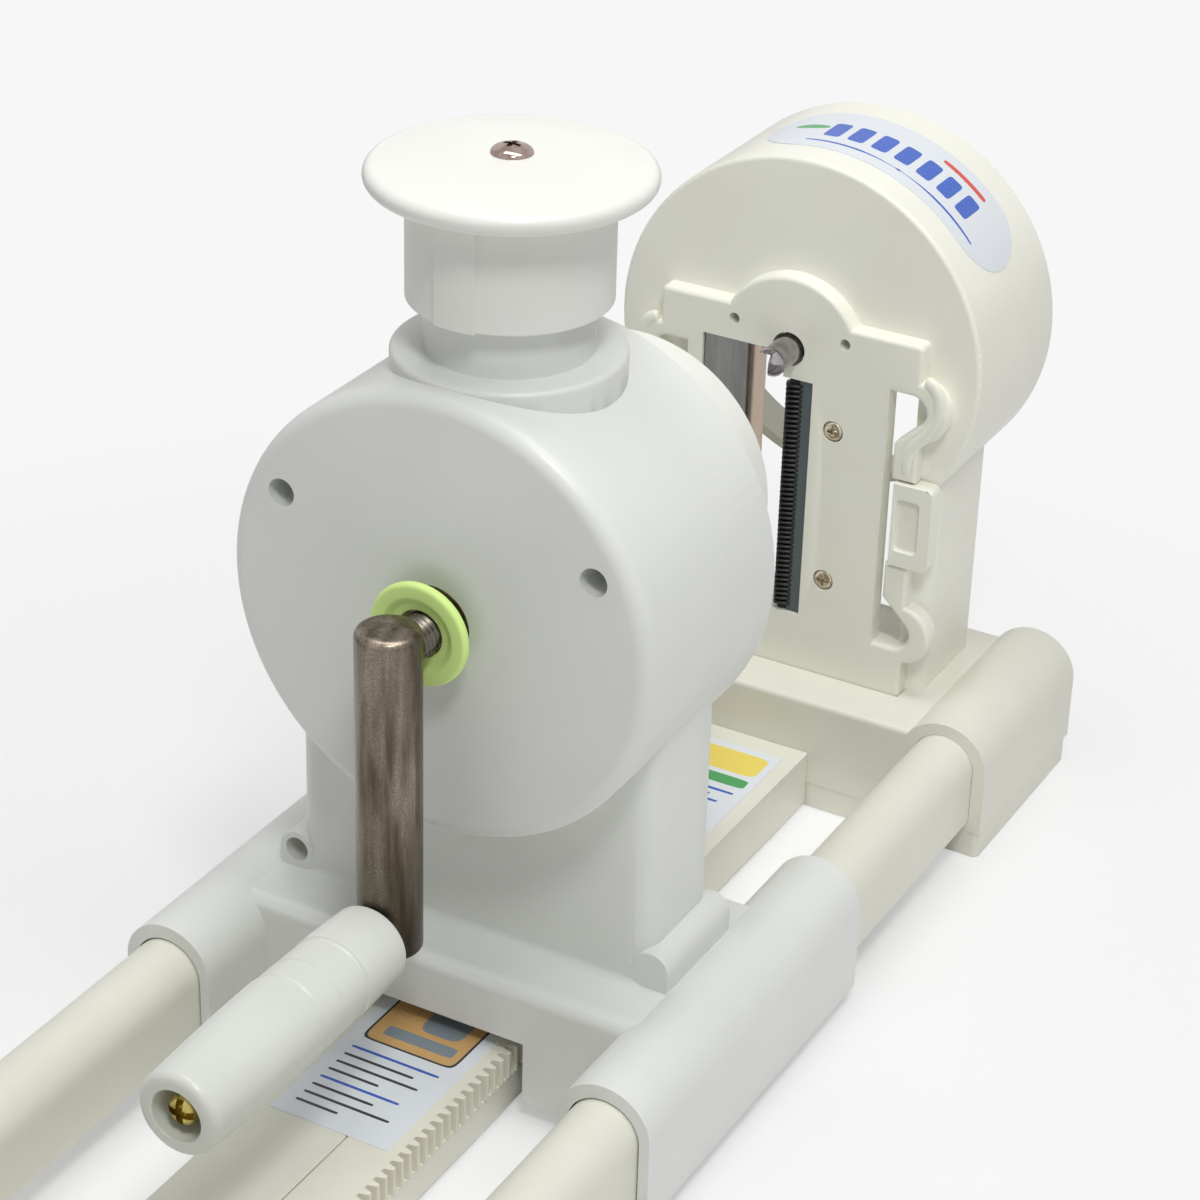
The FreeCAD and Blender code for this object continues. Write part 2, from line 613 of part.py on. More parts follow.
def shell_body():
    """The whole carriage housing before it is parted into a front and a rear shell."""
    body = carriage_outline().cut(carriage_spaces())
    front_hub = cyl_y(0, AXIS_Z, SHAFT_BOSS_R, DRUM_FRONT_Y + 1, DRUM_FRONT_Y + FRONT_BUSHING_L)
    rear_hub = cyl_y(0, AXIS_Z, SHAFT_BOSS_R, DRUM_REAR_Y - REAR_BUSHING_L, DRUM_REAR_Y - 1)
    feed_boss = cyl_z(FEED_X, FEED_Y, FEED_BOSS_R, FEED_BOSS_BOTTOM_Z, SADDLE_TOP - 3)
    body = fuse([body, front_hub, rear_hub, feed_boss] + screw_posts())
    out_r = SHAFT_R + RUNNING_GAP + BUSHING_WALL
    cuts = [
        cyl_y(0, AXIS_Z, out_r, DRUM_FRONT_Y - 1, 0),
        cyl_y(0, AXIS_Z, out_r + FLANGE_PROUD + 0.2, DRUM_FRONT_Y - 1, DRUM_FRONT_Y + FLANGE_T),
        cyl_y(0, AXIS_Z, out_r, 2, DRUM_REAR_Y + 1),
        cyl_z(FEED_X, FEED_Y, PINION_PITCH_R + RACK_ADDENDUM + 0.8, SADDLE_BOTTOM - 1, FEED_BOSS_BOTTOM_Z),
        cyl_z(FEED_X, FEED_Y, FEED_SHAFT_R + RUNNING_GAP + BUSHING_WALL, FEED_BOSS_BOTTOM_Z - 1, SADDLE_TOP + 1),
        cyl_z(0, BUTTON_Y, GUIDE_R, AXIS_Z + 20, AXIS_Z + 80),
    ]
    return body.cut(cuts + screw_holes())


def screw_places():
    """Head seat and direction of each shell screw: (x, z, y of the head, +1 or -1 along Y, hole radius)."""
    z = AXIS_Z + FACE_SCREW_UP
    head = DRUM_FRONT_Y + FACE_SCREW_RECESS
    places = [(s * FACE_SCREW_X, z, head, 1, FACE_SCREW_HOLE_R, DRUM_FRONT_Y - 1) for s in (-1, 1)]
    near, far = COLUMN_FRONT_Y, COLUMN_REAR_Y
    places.append((-FOOT_BOSS_X, FOOT_BOSS_Z, near + FOOT_SCREW_RECESS, 1, FOOT_BOSS_HOLE_R, near - 1))
    places.append((FOOT_BOSS_X, FOOT_BOSS_Z, far - FOOT_SCREW_RECESS, -1, FOOT_BOSS_HOLE_R, far + 1))
    return places


def screw_holes():
    holes = []
    for x, z, seat, way, hole_r, mouth in screw_places():
        inner = seat + way * SHELL_SCREW_HEAD_H
        tip = seat + way * SHELL_SCREW_L
        holes.append(cyl_y(x, z, hole_r, min(mouth, inner), max(mouth, inner)))
        holes.append(cyl_y(x, z, SHELL_SCREW_SHANK_R, min(inner, tip), max(inner, tip)))
    return holes


def shell_screws():
    screw = pan_screw(SHELL_SCREW_HEAD_R, SHELL_SCREW_HEAD_H, SHELL_SCREW_SHANK_R, SHELL_SCREW_L)
    return [
        placed(screw, x, seat, z, V(0, 0, 1), 0 if way > 0 else 180) for x, z, seat, way, _, _ in screw_places()
    ]


def front_bushing():
    bushing = flanged_bushing(SHAFT_R + RUNNING_GAP, FRONT_BUSHING_L)
    return placed(bushing, 0, DRUM_FRONT_Y, AXIS_Z, V(1, 0, 0), -90)


def rear_bushing():
    """Its flange is inside, against the hub, and its bore carries the shaft behind the worm."""
    bushing = flanged_bushing(SHAFT_R + RUNNING_GAP, REAR_BUSHING_L + FLANGE_T)
    return placed(bushing, 0, DRUM_REAR_Y - REAR_BUSHING_L - FLANGE_T, AXIS_Z, V(1, 0, 0), -90)


def feed_bushing():
    bore = FEED_SHAFT_R + RUNNING_GAP
    z0, z1 = FEED_BOSS_BOTTOM_Z, SADDLE_TOP - 3
    ring = cyl_z(FEED_X, FEED_Y, bore + BUSHING_WALL, z0, z1)
    flange = cyl_z(FEED_X, FEED_Y, bore + BUSHING_WALL + FLANGE_PROUD, z1, z1 + FLANGE_T)
    return fuse([ring, flange]).cut(cyl_z(FEED_X, FEED_Y, bore, z0 - 1, z1 + 3))


def gear_bracket():
    """A C-shaped bracket on the front wall that carries the worm wheel above and below."""
    y0 = DRUM_FRONT_Y + DRUM_FRONT_WALL
    x0, x1 = FEED_X - BRACKET_HALF_W, FEED_X + BRACKET_HALF_W
    low, high = AXIS_Z - BRACKET_LOWER, AXIS_Z + BRACKET_UPPER
    back = box(x0, x1, y0, y0 + BRACKET_T, low, high + BRACKET_T)
    arms = [box(x0, x1, y0, BRACKET_ARM_FAR_Y, z, z + BRACKET_T) for z in (low, high)]
    bore = cyl_z(FEED_X, FEED_Y, WHEEL_JOURNAL_R + RUNNING_GAP + BUSHING_WALL, low - 1, high + BRACKET_T + 1)
    holes = [cyl_y(x, z, 1.5, y0 - 1, y0 + BRACKET_T + 1) for x, z in bracket_screw_places()]
    return fuse([back] + arms).cut([bore] + holes)


def bracket_screw_places():
    return [(FEED_X + s * (BRACKET_HALF_W - 3), AXIS_Z - 8.0) for s in (-1, 1)]


def bracket_screws():
    """Two screws from inside, through the bracket and into the front wall."""
    y = DRUM_FRONT_Y + DRUM_FRONT_WALL + BRACKET_T
    screw = pan_screw(2.4, 1.4, 1.5, 1.4 + BRACKET_T + 2)
    return [placed(screw, x, y + 1.4, z, V(0, 0, 1), 180) for x, z in bracket_screw_places()]


def bracket_screw_bores():
    y = DRUM_FRONT_Y + DRUM_FRONT_WALL
    return [cyl_y(x, z, 1.5, y - 2, y + 1) for x, z in bracket_screw_places()]


def wheel_bushings():
    bore = WHEEL_JOURNAL_R + RUNNING_GAP
    rings = []
    for z in (AXIS_Z - BRACKET_LOWER, AXIS_Z + BRACKET_UPPER):
        outer = cyl_z(FEED_X, FEED_Y, bore + BUSHING_WALL, z, z + BRACKET_T)
        rings.append(outer.cut(cyl_z(FEED_X, FEED_Y, bore, z - 1, z + BRACKET_T + 1)))
    return rings


def button_guide():
    """Collar seated on the drum, with the fixed tube that the button slides over and a floor for the spring."""
    collar = cyl_z(0, BUTTON_Y, COLLAR_R, AXIS_Z, COLLAR_TOP_Z)
    collar = collar.makeFillet(COLLAR_EDGE_R, [e for e in collar.Edges if e.isClosed() and e.CenterOfMass.z > AXIS_Z + 1])
    collar = collar.cut(cyl_y(0, AXIS_Z, DRUM_R, DRUM_FRONT_Y - 20, DRUM_REAR_Y + 20))
    tube = cyl_z(0, BUTTON_Y, GUIDE_R, GUIDE_FLOOR_Z, GUIDE_TOP_Z)
    body = fuse([collar, tube])
    bore = cyl_z(0, BUTTON_Y, GUIDE_INNER_R, GUIDE_FLOOR_Z + GUIDE_FLOOR_T, GUIDE_TOP_Z + 1)
    return body.cut([bore, cyl_z(0, BUTTON_Y, BUTTON_ROD_R + RUNNING_GAP, GUIDE_FLOOR_Z - 1, GUIDE_TOP_Z)])


# Set button


def set_button():
    """Crowned disc with a full round rim, outer skirt with one broad rib, and the post that holds the rod."""
    under = BUTTON_UNDER_Z
    rim_r = BUTTON_THICKNESS / 2
    flat_r = BUTTON_R - rim_r
    top = V(0, BUTTON_Y, BUTTON_TOP_Z + BUTTON_CROWN)
    shoulder, edge = V(flat_r, BUTTON_Y, BUTTON_TOP_Z), V(BUTTON_R, BUTTON_Y, under + rim_r)
    low, centre = V(flat_r, BUTTON_Y, under), V(0, BUTTON_Y, under)
    half_way = V(flat_r / 2, BUTTON_Y, BUTTON_TOP_Z + BUTTON_CROWN * 0.75)
    profile = Part.Wire([
        Part.Arc(top, half_way, shoulder).toShape(), Part.Arc(shoulder, edge, low).toShape(),
        Part.makeLine(low, centre), Part.makeLine(centre, top),
    ])
    disc = Part.Face(profile).revolve(V(0, BUTTON_Y, 0), V(0, 0, 1), 360)
    skirt = cyl_z(0, BUTTON_Y, SKIRT_R, SKIRT_BOTTOM_Z, under + 0.5)
    rib = cyl_z(0, BUTTON_Y, SKIRT_R + SKIRT_RIB_PROUD, SKIRT_BOTTOM_Z, under + 0.5)
    rib = rib.common(box(-SKIRT_RIB_HALF_W, SKIRT_RIB_HALF_W, BUTTON_Y - 40, BUTTON_Y, SKIRT_BOTTOM_Z, under + 1))
    skirt = fuse([skirt, rib]).cut(cyl_z(0, BUTTON_Y, SKIRT_R - SKIRT_WALL, SKIRT_BOTTOM_Z - 1, under - 0.01))
    post_z = under - BUTTON_POST_L
    post = cyl_z(0, BUTTON_Y, BUTTON_POST_R, post_z, under + 0.5)
    body = fuse([disc, skirt, post])
    rod_hole = cyl_z(0, BUTTON_Y, BUTTON_ROD_R, post_z - 1, BUTTON_TOP_Z - 2)
    screw_hole = cyl_z(0, BUTTON_Y, BUTTON_SCREW_R, BUTTON_TOP_Z - 3, BUTTON_TOP_Z + 5)
    return body.cut([rod_hole, screw_hole])


def button_screw():
    screw = pan_screw(BUTTON_SCREW_HEAD_R, BUTTON_SCREW_HEAD_H, BUTTON_SCREW_R, BUTTON_SCREW_HEAD_H + 12)
    return placed(screw, 0, BUTTON_Y, BUTTON_TOP_Z + BUTTON_CROWN + BUTTON_SCREW_HEAD_H, V(1, 0, 0), -90)


def button_rod():
    rod = cyl_z(0, BUTTON_Y, BUTTON_ROD_R, BUTTON_ROD_BOTTOM_Z, BUTTON_TOP_Z - 2)
    shank = cyl_z(0, BUTTON_Y, BUTTON_SCREW_R, BUTTON_TOP_Z - 12, BUTTON_TOP_Z)
    return rod.cut([shank, cyl_z(0, BUTTON_Y, 2.0, BUTTON_ROD_BOTTOM_Z - 1, BUTTON_ROD_BOTTOM_Z + 8)])


def button_yoke():
    """The arm on the rod's lower end that carries the feed shaft down with the button."""
    z0, z1 = YOKE_BOTTOM_Z, YOKE_BOTTOM_Z + YOKE_T
    hubs = [cyl_z(0, BUTTON_Y, YOKE_HUB_R, z0, z1), cyl_z(FEED_X, FEED_Y, YOKE_EYE_R, z0, z1)]
    dx, dy = FEED_X, FEED_Y - BUTTON_Y
    length = math.hypot(dx, dy)
    nx, ny = -dy / length * 5, dx / length * 5
    web = prism(
        [
            (nx, BUTTON_Y + ny, z0), (FEED_X + nx, FEED_Y + ny, z0),
            (FEED_X - nx, FEED_Y - ny, z0), (-nx, BUTTON_Y - ny, z0),
        ],
        V(0, 0, YOKE_T),
    )
    body = fuse(hubs + [web])
    return body.cut([
        cyl_z(0, BUTTON_Y, BUTTON_ROD_R, z0 - 1, z1 + 1),
        cyl_z(FEED_X, FEED_Y, FEED_SHAFT_R + 0.4, z0 - 1, z1 + 1),
    ])


def yoke_screw():
    """A washer-head screw in the rod's lower end, under the yoke."""
    screw = pan_screw(7.0, 1.5, 2.0, 9.0)
    return placed(screw, 0, BUTTON_Y, BUTTON_ROD_BOTTOM_Z - 1.5, V(1, 0, 0), 90)


def yoke_washer():
    """Fills the step between the rod's end and the yoke."""
    ring = cyl_z(0, BUTTON_Y, 7.0, BUTTON_ROD_BOTTOM_Z, YOKE_BOTTOM_Z)
    return ring.cut(cyl_z(0, BUTTON_Y, BUTTON_ROD_R, BUTTON_ROD_BOTTOM_Z - 1, YOKE_BOTTOM_Z + 1))


def return_spring():
    """A compression spring from the guide's floor to the button's underside, in tilted half turns."""
    z0 = GUIDE_FLOOR_Z + GUIDE_FLOOR_T + SPRING_WIRE_R
    rise = (SPRING_TOP_Z - z0 - SPRING_WIRE_R) / SPRING_TURNS / 2
    tilt = math.atan2(rise / 2, SPRING_R)
    reach = math.hypot(SPRING_R, rise / 2)
    halves = []
    for k in range(2 * SPRING_TURNS):
        way = 1 if k % 2 == 0 else -1
        corners = []
        for j in range(SPRING_SIDES):
            a = 2 * math.pi * (j + 0.5) / SPRING_SIDES
            corners.append(V(reach + SPRING_WIRE_R * math.cos(a), 0, SPRING_WIRE_R * math.sin(a)))
        section = Part.Face(Part.makePolygon(corners + [corners[0]]))
        half = section.revolve(V(0, 0, 0), V(0, 0, 1), 180)
        half.rotate(V(0, 0, 0), V(0, 1, 0), math.degrees(tilt))
        if way < 0:
            half.rotate(V(0, 0, 0), V(0, 0, 1), 180)
        half.translate(V(0, BUTTON_Y, z0 + rise * (k + 0.5)))
        halves.append(half)
    return halves[0].fuse(halves[1:])


# Crank


def crank_arm():
    """A round steel bar with turned ends, drilled for the shaft and the grip's screw."""
    z0, z1 = AXIS_Z - ARM_BELOW_AXIS, AXIS_Z + ARM_ABOVE_AXIS
    bar = cyl_z(0, ARM_Y, ARM_R, z0, z1)
    bar = bar.makeChamfer(ARM_CHAMFER, [e for e in bar.Edges if e.isClosed()])
    return bar.cut([
        cyl_y(0, AXIS_Z, SHAFT_R, ARM_Y - SHAFT_IN_ARM, ARM_Y + ARM_R + 1),
        cyl_y(0, GRIP_Z, GRIP_SPINDLE_R, ARM_Y - ARM_R - 1, ARM_Y + 4),
    ])


def crank_shaft():
    """The main shaft, with thread grooves between the arm and the washer."""
    shaft = cyl_y(0, AXIS_Z, SHAFT_R, ARM_Y - SHAFT_IN_ARM, SHAFT_END_Y)
    grooves = []
    y = ARM_Y + ARM_R
    while y < WASHER_FRONT_Y + WASHER_T:
        grooves.append(revolve_y([(y, SHAFT_R + 0.5), (y + THREAD_PITCH / 2, SHAFT_R - 0.6), (y + THREAD_PITCH, SHAFT_R + 0.5)], 0, AXIS_Z))
        y += THREAD_PITCH
    pin = cyl_x_at(WORM_PIN_Y, 1.25)
    return shaft.cut(grooves + [pin, cyl_x_at(HOLDER_PIN_Y, 1.25)])


WORM_FRONT_Y = FEED_Y - WORM_LENGTH / 2
WORM_HUB_L = 6.0
WORM_PIN_Y = WORM_FRONT_Y + WORM_LENGTH + WORM_HUB_L / 2
HOLDER_PIN_Y = 46.0


def cyl_x_at(y, r, half=20.0):
    return Part.makeCylinder(r, 2 * half, V(-half, y, AXIS_Z), V(1, 0, 0))


def drive_pins():
    """Cross pins that lock the worm and the holder to the shaft."""
    return [cyl_x_at(WORM_PIN_Y, 1.25, WORM_HUB_R), cyl_x_at(HOLDER_PIN_Y, 1.25, HOLDER_HUB_R)]


WORM_ROOT_R = WORM_PITCH_R - 1.35
WORM_OUT_R = WORM_PITCH_R + WORM_MODULE
WORM_HUB_R = 8.0


def worm():
    """A single-start right-hand worm with a hub, placed so that its thread meets a gap of the wheel."""
    pitch = math.pi * WORM_MODULE
    tan = math.tan(math.radians(20))
    half_out = WORM_THREAD_W / 2 - WORM_MODULE * tan * 0.6
    half_in = WORM_THREAD_W / 2 + (WORM_PITCH_R - WORM_ROOT_R + 0.3) * tan * 0.6
    r_in, r_out = WORM_ROOT_R - 0.3, WORM_OUT_R
    section = Part.makePolygon([
        V(r_in, 0, -half_in), V(r_out, 0, -half_out), V(r_out, 0, half_out), V(r_in, 0, half_in), V(r_in, 0, -half_in),
    ])
    turns = WORM_LENGTH / pitch - 1
    helix = Part.makeHelix(pitch, turns * pitch, WORM_PITCH_R)
    thread = Part.Wire(helix).makePipeShell([section], True, True)
    thread.rotate(V(0, 0, 0), V(1, 0, 0), -90)
    thread.translate(V(0, FEED_Y - math.floor(turns / 2) * pitch, AXIS_Z))
    core = cyl_y(0, AXIS_Z, WORM_ROOT_R, WORM_FRONT_Y, WORM_FRONT_Y + WORM_LENGTH + 1)
    hub = cyl_y(0, AXIS_Z, WORM_HUB_R, WORM_FRONT_Y + WORM_LENGTH, WORM_FRONT_Y + WORM_LENGTH + WORM_HUB_L)
    bore = cyl_y(0, AXIS_Z, SHAFT_R, WORM_FRONT_Y - 1, WORM_FRONT_Y + WORM_LENGTH + WORM_HUB_L + 1)
    return fuse([core, hub]).fuse(thread).cut([bore, cyl_x_at(WORM_PIN_Y, 1.25)])


def green_washer():
    """A soft washer, dished toward its bore, with rounded outer edges."""
    y0, y1 = WASHER_FRONT_Y, WASHER_FRONT_Y + WASHER_T
    edge = WASHER_T * 0.3
    return revolve_y(
        [
            (y0 + WASHER_DISH_DEPTH, WASHER_BORE_R), (y0, WASHER_DISH_R), (y0, WASHER_R - edge),
            (y0 + edge, WASHER_R), (y1 - edge, WASHER_R), (y1, WASHER_R - edge), (y1, WASHER_BORE_R),
        ],
        0, AXIS_Z,
    )


def shaft_clip():
    """Keeps the shaft from sliding out of the front bushing."""
    y0 = DRUM_FRONT_Y + FRONT_BUSHING_L + CLIP_GAP
    ring = cyl_y(0, AXIS_Z, SHAFT_R + CLIP_PROUD, y0, y0 + CLIP_T)
    return ring.cut(cyl_y(0, AXIS_Z, SHAFT_R, y0 - 1, y0 + CLIP_T + 1))


def vegetable_holder():
    """A cup behind the drum that turns with the shaft and grips the end of the vegetable."""
    y0, y1 = HOLDER_FRONT_Y, HOLDER_REAR_Y
    cup = cyl_y(0, AXIS_Z, HOLDER_R, y0, y1)
    rear = [e for e in cup.Edges if e.isClosed() and abs(e.CenterOfMass.y - y1) < 1e-6]
    cup = cup.makeFillet(1.0, rear)
    cup = cup.cut(cyl_y(0, AXIS_Z, HOLDER_R - WALL, y0 - 1, y1 - HOLDER_FACE_T))
    half_t = HOLDER_RIB_T / 2
    rib = box(HOLDER_HUB_R - 2, HOLDER_R - 1, y1 - HOLDER_RIB_L, y1 - 1, -half_t, half_t)
    ribs = [placed(rib, 0, 0, AXIS_Z, V(0, 1, 0), 60 * k) for k in range(6)]
    body = fuse([cup] + ribs)
    screws = [cyl_y(x, z, 1.3, y1 - 8, y1 + 1) for x, z in spike_screw_places()]
    return body.cut([
        cyl_y(0, AXIS_Z, HOLDER_HUB_R, y0, y1 + 1), cyl_x_at(HOLDER_PIN_Y, 1.25, HOLDER_HUB_R),
    ] + screws)


def holder_hub():
    """The boss in the middle of the cup, pinned to the shaft, with a socket for the core."""
    y0, y1 = HOLDER_FRONT_Y + HOLDER_HUB_INSET, HOLDER_REAR_Y
    return cyl_y(0, AXIS_Z, HOLDER_HUB_R, y0, y1).cut([
        cyl_y(0, AXIS_Z, SHAFT_R, y0 - 1, SHAFT_END_Y), cyl_y(0, AXIS_Z, HOLDER_CORE_R, SHAFT_END_Y, y1 + 1),
        cyl_x_at(HOLDER_PIN_Y, 1.25, HOLDER_HUB_R),
    ])


def spike_screw_places():
    turns = [math.radians(30 + 120 * k) for k in range(3)]
    return [(12.5 * math.cos(t), AXIS_Z + 12.5 * math.sin(t)) for t in turns]


def spike_plate():
    """A thin steel disc with points that bite into the vegetable."""
    y0 = HOLDER_REAR_Y
    disc = cyl_y(0, AXIS_Z, SPIKE_PLATE_R, y0, y0 + SPIKE_PLATE_T)
    spikes = []
    for k in range(SPIKE_COUNT):
        turn = math.radians(360 / SPIKE_COUNT * k)
        centre = V(SPIKE_RING_R * math.cos(turn), y0 + SPIKE_PLATE_T - 0.2, AXIS_Z + SPIKE_RING_R * math.sin(turn))
        spikes.append(Part.makeCone(SPIKE_BASE_R, 0.15, SPIKE_LENGTH + 0.2, centre, V(0, 1, 0)))
    holes = [cyl_y(x, z, 1.3, y0 - 1, y0 + SPIKE_PLATE_T + 1) for x, z in spike_screw_places()]
    return fuse([disc] + spikes).cut([cyl_y(0, AXIS_Z, HOLDER_CORE_R, y0 - 1, y0 + 3)] + holes)


def spike_screws():
    y = HOLDER_REAR_Y + SPIKE_PLATE_T
    screw = pan_screw(2.2, 1.0, 1.3, 8.0)
    return [placed(screw, x, y + 1.0, z, V(0, 0, 1), 180) for x, z in spike_screw_places()]


def crank_grip():
    """A turned barrel with rounded ends, shallow rings and a deep recess for the screw's head."""
    start, end = V(GRIP_REAR_R, 0, 0), V(GRIP_FRONT_R, -GRIP_LENGTH, 0)
    barrel = Part.Arc(start, V(GRIP_WIDEST_R, -GRIP_WIDEST_AT, 0), end)
    edges = [
        barrel.toShape(),
        Part.makeLine(end, V(0, end.y, 0)),
        Part.makeLine(V(0, end.y, 0), V(0, start.y, 0)),
        Part.makeLine(V(0, start.y, 0), start),
    ]
    solid = Part.Face(Part.Wire(edges)).revolve(V(0, 0, 0), V(0, 1, 0), 360)
    for at, rim_r in ((0, GRIP_REAR_EDGE_R), (-GRIP_LENGTH, GRIP_FRONT_EDGE_R)):
        rims = [e for e in solid.Edges if e.isClosed() and abs(e.CenterOfMass.y - at) < 1e-3]
        solid = solid.makeFillet(rim_r, rims)
    for at, width, depth in GRIP_GROOVES:
        r = grip_radius(at)
        ring = cyl_y(0, 0, r + 2, -at - width / 2, -at + width / 2)
        solid = solid.cut(ring.cut(cyl_y(0, 0, r - depth, -at - 5, -at + 5)))
    solid = solid.cut([
        cyl_y(0, 0, GRIP_SPINDLE_R + RUNNING_GAP, -GRIP_LENGTH - 1, 1),
        cyl_y(0, 0, GRIP_RECESS_R, -GRIP_LENGTH - 1, -GRIP_LENGTH + GRIP_RECESS_DEPTH),
    ])
    solid.translate(V(0, GRIP_REAR_Y, GRIP_Z))
    return solid


def grip_radius(at):
    """Radius of the barrel at a distance from its rear end, by the bend on that side of its widest place."""
    rear = at < GRIP_WIDEST_AT
    drop = GRIP_WIDEST_R - (GRIP_REAR_R if rear else GRIP_FRONT_R)
    reach = GRIP_WIDEST_AT if rear else GRIP_LENGTH - GRIP_WIDEST_AT
    return GRIP_WIDEST_R - drop * ((at - GRIP_WIDEST_AT) / reach) ** 2


def grip_screw():
    """The long shoulder screw that the grip turns on; it is fixed in the arm."""
    floor_y = GRIP_REAR_Y - GRIP_LENGTH + GRIP_RECESS_DEPTH
    head_y = floor_y - CLEAR - GRIP_SCREW_HEAD_H
    screw = pan_screw(GRIP_SCREW_HEAD_R, GRIP_SCREW_HEAD_H, GRIP_SPINDLE_R, ARM_Y + 4 - head_y)
    return placed(screw, 0, head_y, GRIP_Z)


# Feed train


def worm_wheel():
    """Wheel with straight teeth, hub and two journals; its bore has a flat that turns the feed shaft."""
    root_r, out_r = WHEEL_PITCH_R - 1.35, WHEEL_PITCH_R + 1.05
    z0, z1 = AXIS_Z - WHEEL_T / 2, AXIS_Z + WHEEL_T / 2
    disc = cyl_z(0, 0, root_r, z0, z1)
    half_in, half_out = WHEEL_TOOTH_W / 2 + 0.45, WHEEL_TOOTH_W / 2 - 0.3
    teeth = []
    for k in range(WHEEL_TEETH):
        tooth = prism(
            [(root_r - 0.5, -half_in, z0), (out_r, -half_out, z0), (out_r, half_out, z0), (root_r - 0.5, half_in, z0)],
            V(0, 0, WHEEL_T),
        )
        tooth.rotate(V(0, 0, 0), V(0, 0, 1), (k + 0.5) * 360 / WHEEL_TEETH + 180)
        teeth.append(tooth)
    low, high = AXIS_Z - BRACKET_LOWER, AXIS_Z + BRACKET_UPPER
    hub = cyl_z(0, 0, WHEEL_HUB_R, low + BRACKET_T + CLEAR, high - CLEAR)
    journal = cyl_z(0, 0, WHEEL_JOURNAL_R, low - 0.5, high + BRACKET_T + 0.3)
    bore = cyl_z(0, 0, FEED_SHAFT_R + FEED_FLAT_GAP, low - 2, high + 10)
    flat = box(FEED_FLAT_X + FEED_FLAT_GAP, 20, -20, 20, low - 3, high + 11)
    wheel = fuse([disc, hub, journal] + teeth).cut(bore.cut(flat))
    wheel.translate(V(FEED_X, FEED_Y, 0))
    return wheel


FEED_TOP_Z = YOKE_BOTTOM_Z + YOKE_T + CLIP_GAP + CLIP_T + 1.5
FEED_FLAT_BOTTOM_Z = 60.0


def feed_shaft():
    """The upright shaft, with a flat where it slides through the wheel."""
    shaft = cyl_z(FEED_X, FEED_Y, FEED_SHAFT_R, PINION_BOTTOM_Z, FEED_TOP_Z)
    flat_top = YOKE_BOTTOM_Z - CLIP_GAP - CLIP_T - 1.0
    return shaft.cut(box(
        FEED_X + FEED_FLAT_X, FEED_X + 10, FEED_Y - 10, FEED_Y + 10, FEED_FLAT_BOTTOM_Z, flat_top,
    ))


def feed_pinion():
    """Straight-flanked pinion; at rest one tooth lies over a gap of the rack."""
    root_r, out_r = PINION_PITCH_R - 1.2, PINION_PITCH_R + RACK_ADDENDUM - 0.1
    z0, z1 = PINION_BOTTOM_Z, PINION_BOTTOM_Z + PINION_T
    tooth_w = RACK_TOOTH_PITCH / 2 - PINION_BACKLASH
    half_in, half_out = tooth_w / 2 + 0.3, tooth_w / 2 - 0.35
    nearest = round((FEED_Y - RACK_TOOTH_PHASE_Y) / RACK_TOOTH_PITCH - 0.5)
    gap_y = RACK_TOOTH_PHASE_Y + (nearest + 0.5) * RACK_TOOTH_PITCH
    shift = math.degrees((FEED_Y - gap_y) / PINION_PITCH_R)
    parts = [cyl_z(0, 0, root_r, z0, z1)]
    for k in range(PINION_TEETH):
        tooth = prism(
            [(root_r - 0.6, -half_in, z0), (out_r, -half_out, z0), (out_r, half_out, z0), (root_r - 0.6, half_in, z0)],
            V(0, 0, PINION_T),
        )
        tooth.rotate(V(0, 0, 0), V(0, 0, 1), 180 + shift + k * 360 / PINION_TEETH)
        parts.append(tooth)
    pinion = fuse(parts).cut(cyl_z(0, 0, FEED_SHAFT_R, z0 - 1, z1 + 1))
    pinion.translate(V(FEED_X, FEED_Y, 0))
    return pinion


def feed_clips():
    """Two clips on the feed shaft, under and over the yoke."""
    rings = []
    for z in (YOKE_BOTTOM_Z - CLIP_GAP - CLIP_T, YOKE_BOTTOM_Z + YOKE_T + CLIP_GAP):
        ring = cyl_z(FEED_X, FEED_Y, FEED_SHAFT_R + CLIP_PROUD, z, z + CLIP_T)
        rings.append(ring.cut(cyl_z(FEED_X, FEED_Y, FEED_SHAFT_R, z - 1, z + CLIP_T + 1)))
    return rings


# Blade head and cassette


